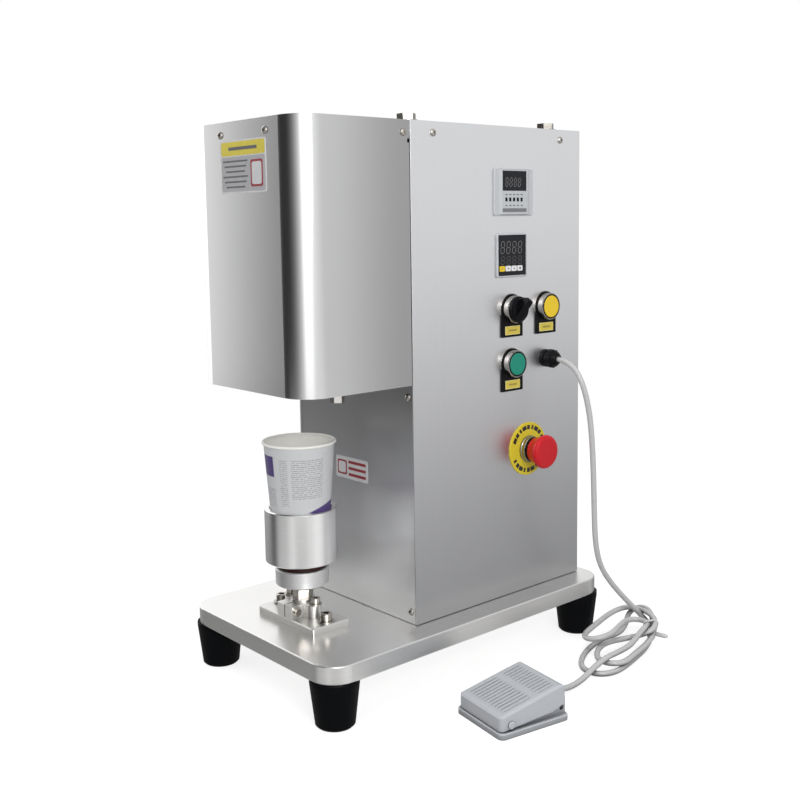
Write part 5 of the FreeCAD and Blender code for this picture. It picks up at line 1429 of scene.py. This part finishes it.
@dataclass(frozen=True)
class Room:
    """What metal mirrors: brightness by direction, in degrees.

    Args:
        walls: (turn, brightness) stops of the walls, from the X axis.
        ground: the same for the ground round the object.
        levels: (rise, share) stops of the walls' brightness, from straight down.
        gain: how much brighter the walls are than their stops.
        foot: where the walls end and the ground begins, below the level.
        apron: where the ground round the object ends and the plain one begins.
        plain_ground: brightness of the plain ground.
        matt: brightness of the room on matt surfaces.
        floor_radius: radius of the floor, in metres.
        floor_seen: the floor's own light to the camera.
        floor_shade: the floor's brightness in the light of the lamps, and that to the camera.
    """

    walls: tuple[Span, ...] = (
        (0, 0.58), (12, 0.55), (24, 0.49), (33, 0.455), (44, 0.47), (56, 0.56), (70, 0.46), (90, 0.34),
        (112, 0.3), (128, 0.55), (140, 0.68), (170, 0.8), (198, 1.0), (208.8, 1.0), (210.0, 0.82),
        (211.2, 0.54), (212.4, 0.33), (213.6, 0.19), (215.5, 0.09), (219, 0.04), (228, 0.02), (256, 0.02),
        (268, 0.05), (280, 0.12), (292, 0.27), (304, 0.48), (314, 0.95), (322, 1.0), (336, 1.0), (345, 0.75),
        (352, 0.6),
    )
    ground: tuple[Span, ...] = (
        (0, 0.85), (12, 0.95), (22, 0.98), (34, 0.8), (46, 0.54), (60, 0.4), (76, 0.3), (116, 0.2),
        (145, 0.26), (172, 0.32), (200, 0.24), (214, 0.2), (225, 0.1), (234, 0.12), (244, 0.4), (254, 0.55),
        (276, 0.6), (290, 0.8), (300, 0.84), (310, 0.55), (320, 0.45), (338, 0.5), (350, 0.75),
    )
    levels: tuple[Span, ...] = (
        (0, 0.8), (70, 0.8), (80, 0.84), (88, 0.88), (96, 0.92), (105, 0.97), (120, 1.0), (180, 1.0),
    )
    gain: float = 1.6
    foot: Span = (-8, -15)
    apron: Span = (-20, -32)
    plain_ground: float = 0.55
    matt: float = 0.5
    floor_radius: float = 1.3
    floor_seen: float = 0.76
    floor_shade: Span = (0.55, 0.42)


@dataclass(frozen=True)
class Studio:
    """Camera, surroundings, lights and render settings."""

    sizes: CameraSizes = CameraSizes()
    room: Room = Room()
    lamps: tuple[Lamp, ...] = (KEY, FILL, TOP)

    def build(self) -> None:
        """Builds the studio."""
        self.camera()
        self.surroundings()
        self.floor()
        for lamp in self.lamps:
            self.light(lamp)
        bpy.context.scene.view_settings.view_transform = "Standard"
        log.info("set up the studio")

    def camera(self) -> None:
        """Places the camera where the photograph was taken from."""
        sizes = self.sizes
        yaw, pitch, roll = (math.radians(a) for a in (sizes.yaw, sizes.pitch, sizes.roll))
        forward = Vector((-math.sin(yaw) * math.cos(pitch), math.cos(yaw) * math.cos(pitch), -math.sin(pitch)))
        level = forward.cross(Vector((0, 0, 1))).normalized()
        upward = level.cross(forward)
        right = level * math.cos(roll) + upward * math.sin(roll)
        up = upward * math.cos(roll) - level * math.sin(roll)
        data = bpy.data.cameras.new("camera")
        data.sensor_width = sizes.sensor
        data.lens = sizes.lens
        data.shift_y = sizes.shift_y
        data.clip_start = sizes.near
        data.clip_end = sizes.far
        camera = link(bpy.data.objects.new("camera", data))
        turned = Matrix((right, up, -forward)).transposed().to_4x4()
        camera.matrix_world = Matrix.Translation(sizes.place) @ turned
        bpy.context.scene.camera = camera

    def surroundings(self) -> None:
        """A room: white to the camera, soft to matt surfaces, and bright and dark walls to metal."""
        room = self.room
        world = bpy.data.worlds.new("white_room")
        world.use_nodes = True
        bpy.context.scene.world = world
        tree = world.node_tree
        tree.nodes.clear()
        direction = add(tree, "ShaderNodeTexCoord").outputs["Generated"]
        x, y, z = add(tree, "ShaderNodeSeparateXYZ", {0: direction}).outputs
        turn = math_node(tree, "DIVIDE", math_node(tree, "ARCTAN2", y, x), TURN)
        turn = math_node(tree, "FRACT", math_node(tree, "ADD", turn, 1.0))
        walls = self.ramp(tree, turn, 360.0, room.walls)
        ground = self.ramp(tree, turn, 360.0, room.ground)
        rise = math_node(tree, "ARCSINE", z)
        share = math_node(tree, "ADD", math_node(tree, "DIVIDE", rise, math.pi), 0.5)
        levels = self.ramp(tree, share, 180.0, room.levels, "B_SPLINE")
        upper = times(tree, times(tree, walls, levels), room.gain)
        near, below = (
            add(tree, "ShaderNodeMapRange",
                {0: rise, 1: math.radians(high), 2: math.radians(low), 3: 0.0, 4: 1.0},
                interpolation_type="SMOOTHSTEP").outputs[0]
            for high, low in (room.foot, room.apron)
        )
        lower = add(tree, "ShaderNodeMix", {0: below, 2: ground, 3: room.plain_ground}).outputs[0]
        glow = add(tree, "ShaderNodeMix", {0: near, 2: upper, 3: lower}).outputs[0]
        path = add(tree, "ShaderNodeLightPath").outputs
        matt, studio, white = (
            add(tree, "ShaderNodeBackground", {"Color": (1.0, 1.0, 1.0, 1.0), "Strength": strength}).outputs[0]
            for strength in (room.matt, glow, 1.0)
        )
        shine = add(tree, "ShaderNodeMixShader", {0: path["Is Glossy Ray"], 1: matt, 2: studio}).outputs[0]
        seen = add(tree, "ShaderNodeMixShader", {0: path["Is Camera Ray"], 1: shine, 2: white}).outputs[0]
        add(tree, "ShaderNodeOutputWorld", {0: seen})

    def ramp(self, tree: Tree, value: Socket, full: float, stops: tuple[Span, ...],
             curve: str = "LINEAR") -> Socket:
        """Adds a brightness that changes with a direction.

        Args:
            tree: the world's tree.
            value: the direction, as a share of the full angle.
            full: the full angle in degrees.
            stops: (degrees, brightness) stops.
            curve: how it runs from stop to stop.

        Returns:
            The brightness.
        """
        node = add(tree, "ShaderNodeValToRGB", {0: value})
        elements = node.color_ramp.elements
        node.color_ramp.interpolation = curve
        while len(elements) < len(stops):
            elements.new(0.5)
        for element, (degrees, brightness) in zip(elements, stops):
            element.position = degrees / full
            element.color = (brightness, brightness, brightness, 1.0)
        return node.outputs[0]

    def floor(self) -> None:
        """A pale floor: white to the camera but for the object's shadow, and clear to metal."""
        mesh = bmesh.new()
        bmesh.ops.create_circle(mesh, cap_ends=True, segments=96, radius=self.room.floor_radius)
        material = bpy.data.materials.new("pale_floor")
        material.use_nodes = True
        tree = material.node_tree
        shader = tree.nodes["Principled BSDF"]
        path = add(tree, "ShaderNodeLightPath").outputs
        seen = path["Is Camera Ray"]
        clear = add(tree, "ShaderNodeBsdfTransparent").outputs[0]
        both = add(tree, "ShaderNodeMixShader", {0: path["Is Glossy Ray"], 1: shader.outputs[0], 2: clear})
        tree.links.new(both.outputs[0], tree.nodes["Material Output"].inputs["Surface"])
        color = mix_color(tree, seen, *((shade,) * 3 for shade in self.room.floor_shade))
        tree.links.new(color, shader.inputs["Base Color"])
        tree.links.new(times(tree, seen, self.room.floor_seen), shader.inputs["Emission Strength"])
        shader.inputs["Emission Color"].default_value = (1.0, 1.0, 1.0, 1.0)
        shader.inputs["Specular IOR Level"].default_value = 0.0
        mesh_object("floor", mesh, material)

    def light(self, lamp: Lamp) -> None:
        """Hangs one soft box.

        Args:
            lamp: where it hangs, and its size and power.
        """
        data = bpy.data.lights.new(lamp.name, "AREA")
        data.size = lamp.size
        data.energy = lamp.power
        piece = link(bpy.data.objects.new(lamp.name, data))
        aim = Vector(lamp.target) - Vector(lamp.place)
        piece.visible_glossy = lamp is KEY
        piece.matrix_world = Matrix.Translation(lamp.place) @ aim.to_track_quat("-Z", "Y").to_matrix().to_4x4()


def main() -> None:
    """Builds the whole scene, one group of pieces after the other."""
    logging.basicConfig(level=logging.INFO, format="%(message)s")
    finishes = Finishes()
    Machine(finishes).build()
    Cup(finishes, CupPrint()).build()
    Labels(finishes, LabelSizes()).build()
    ControlPanel(finishes, PanelSizes()).build()
    Cable(finishes).build()
    Studio().build()


if __name__ == "__main__":
    main()
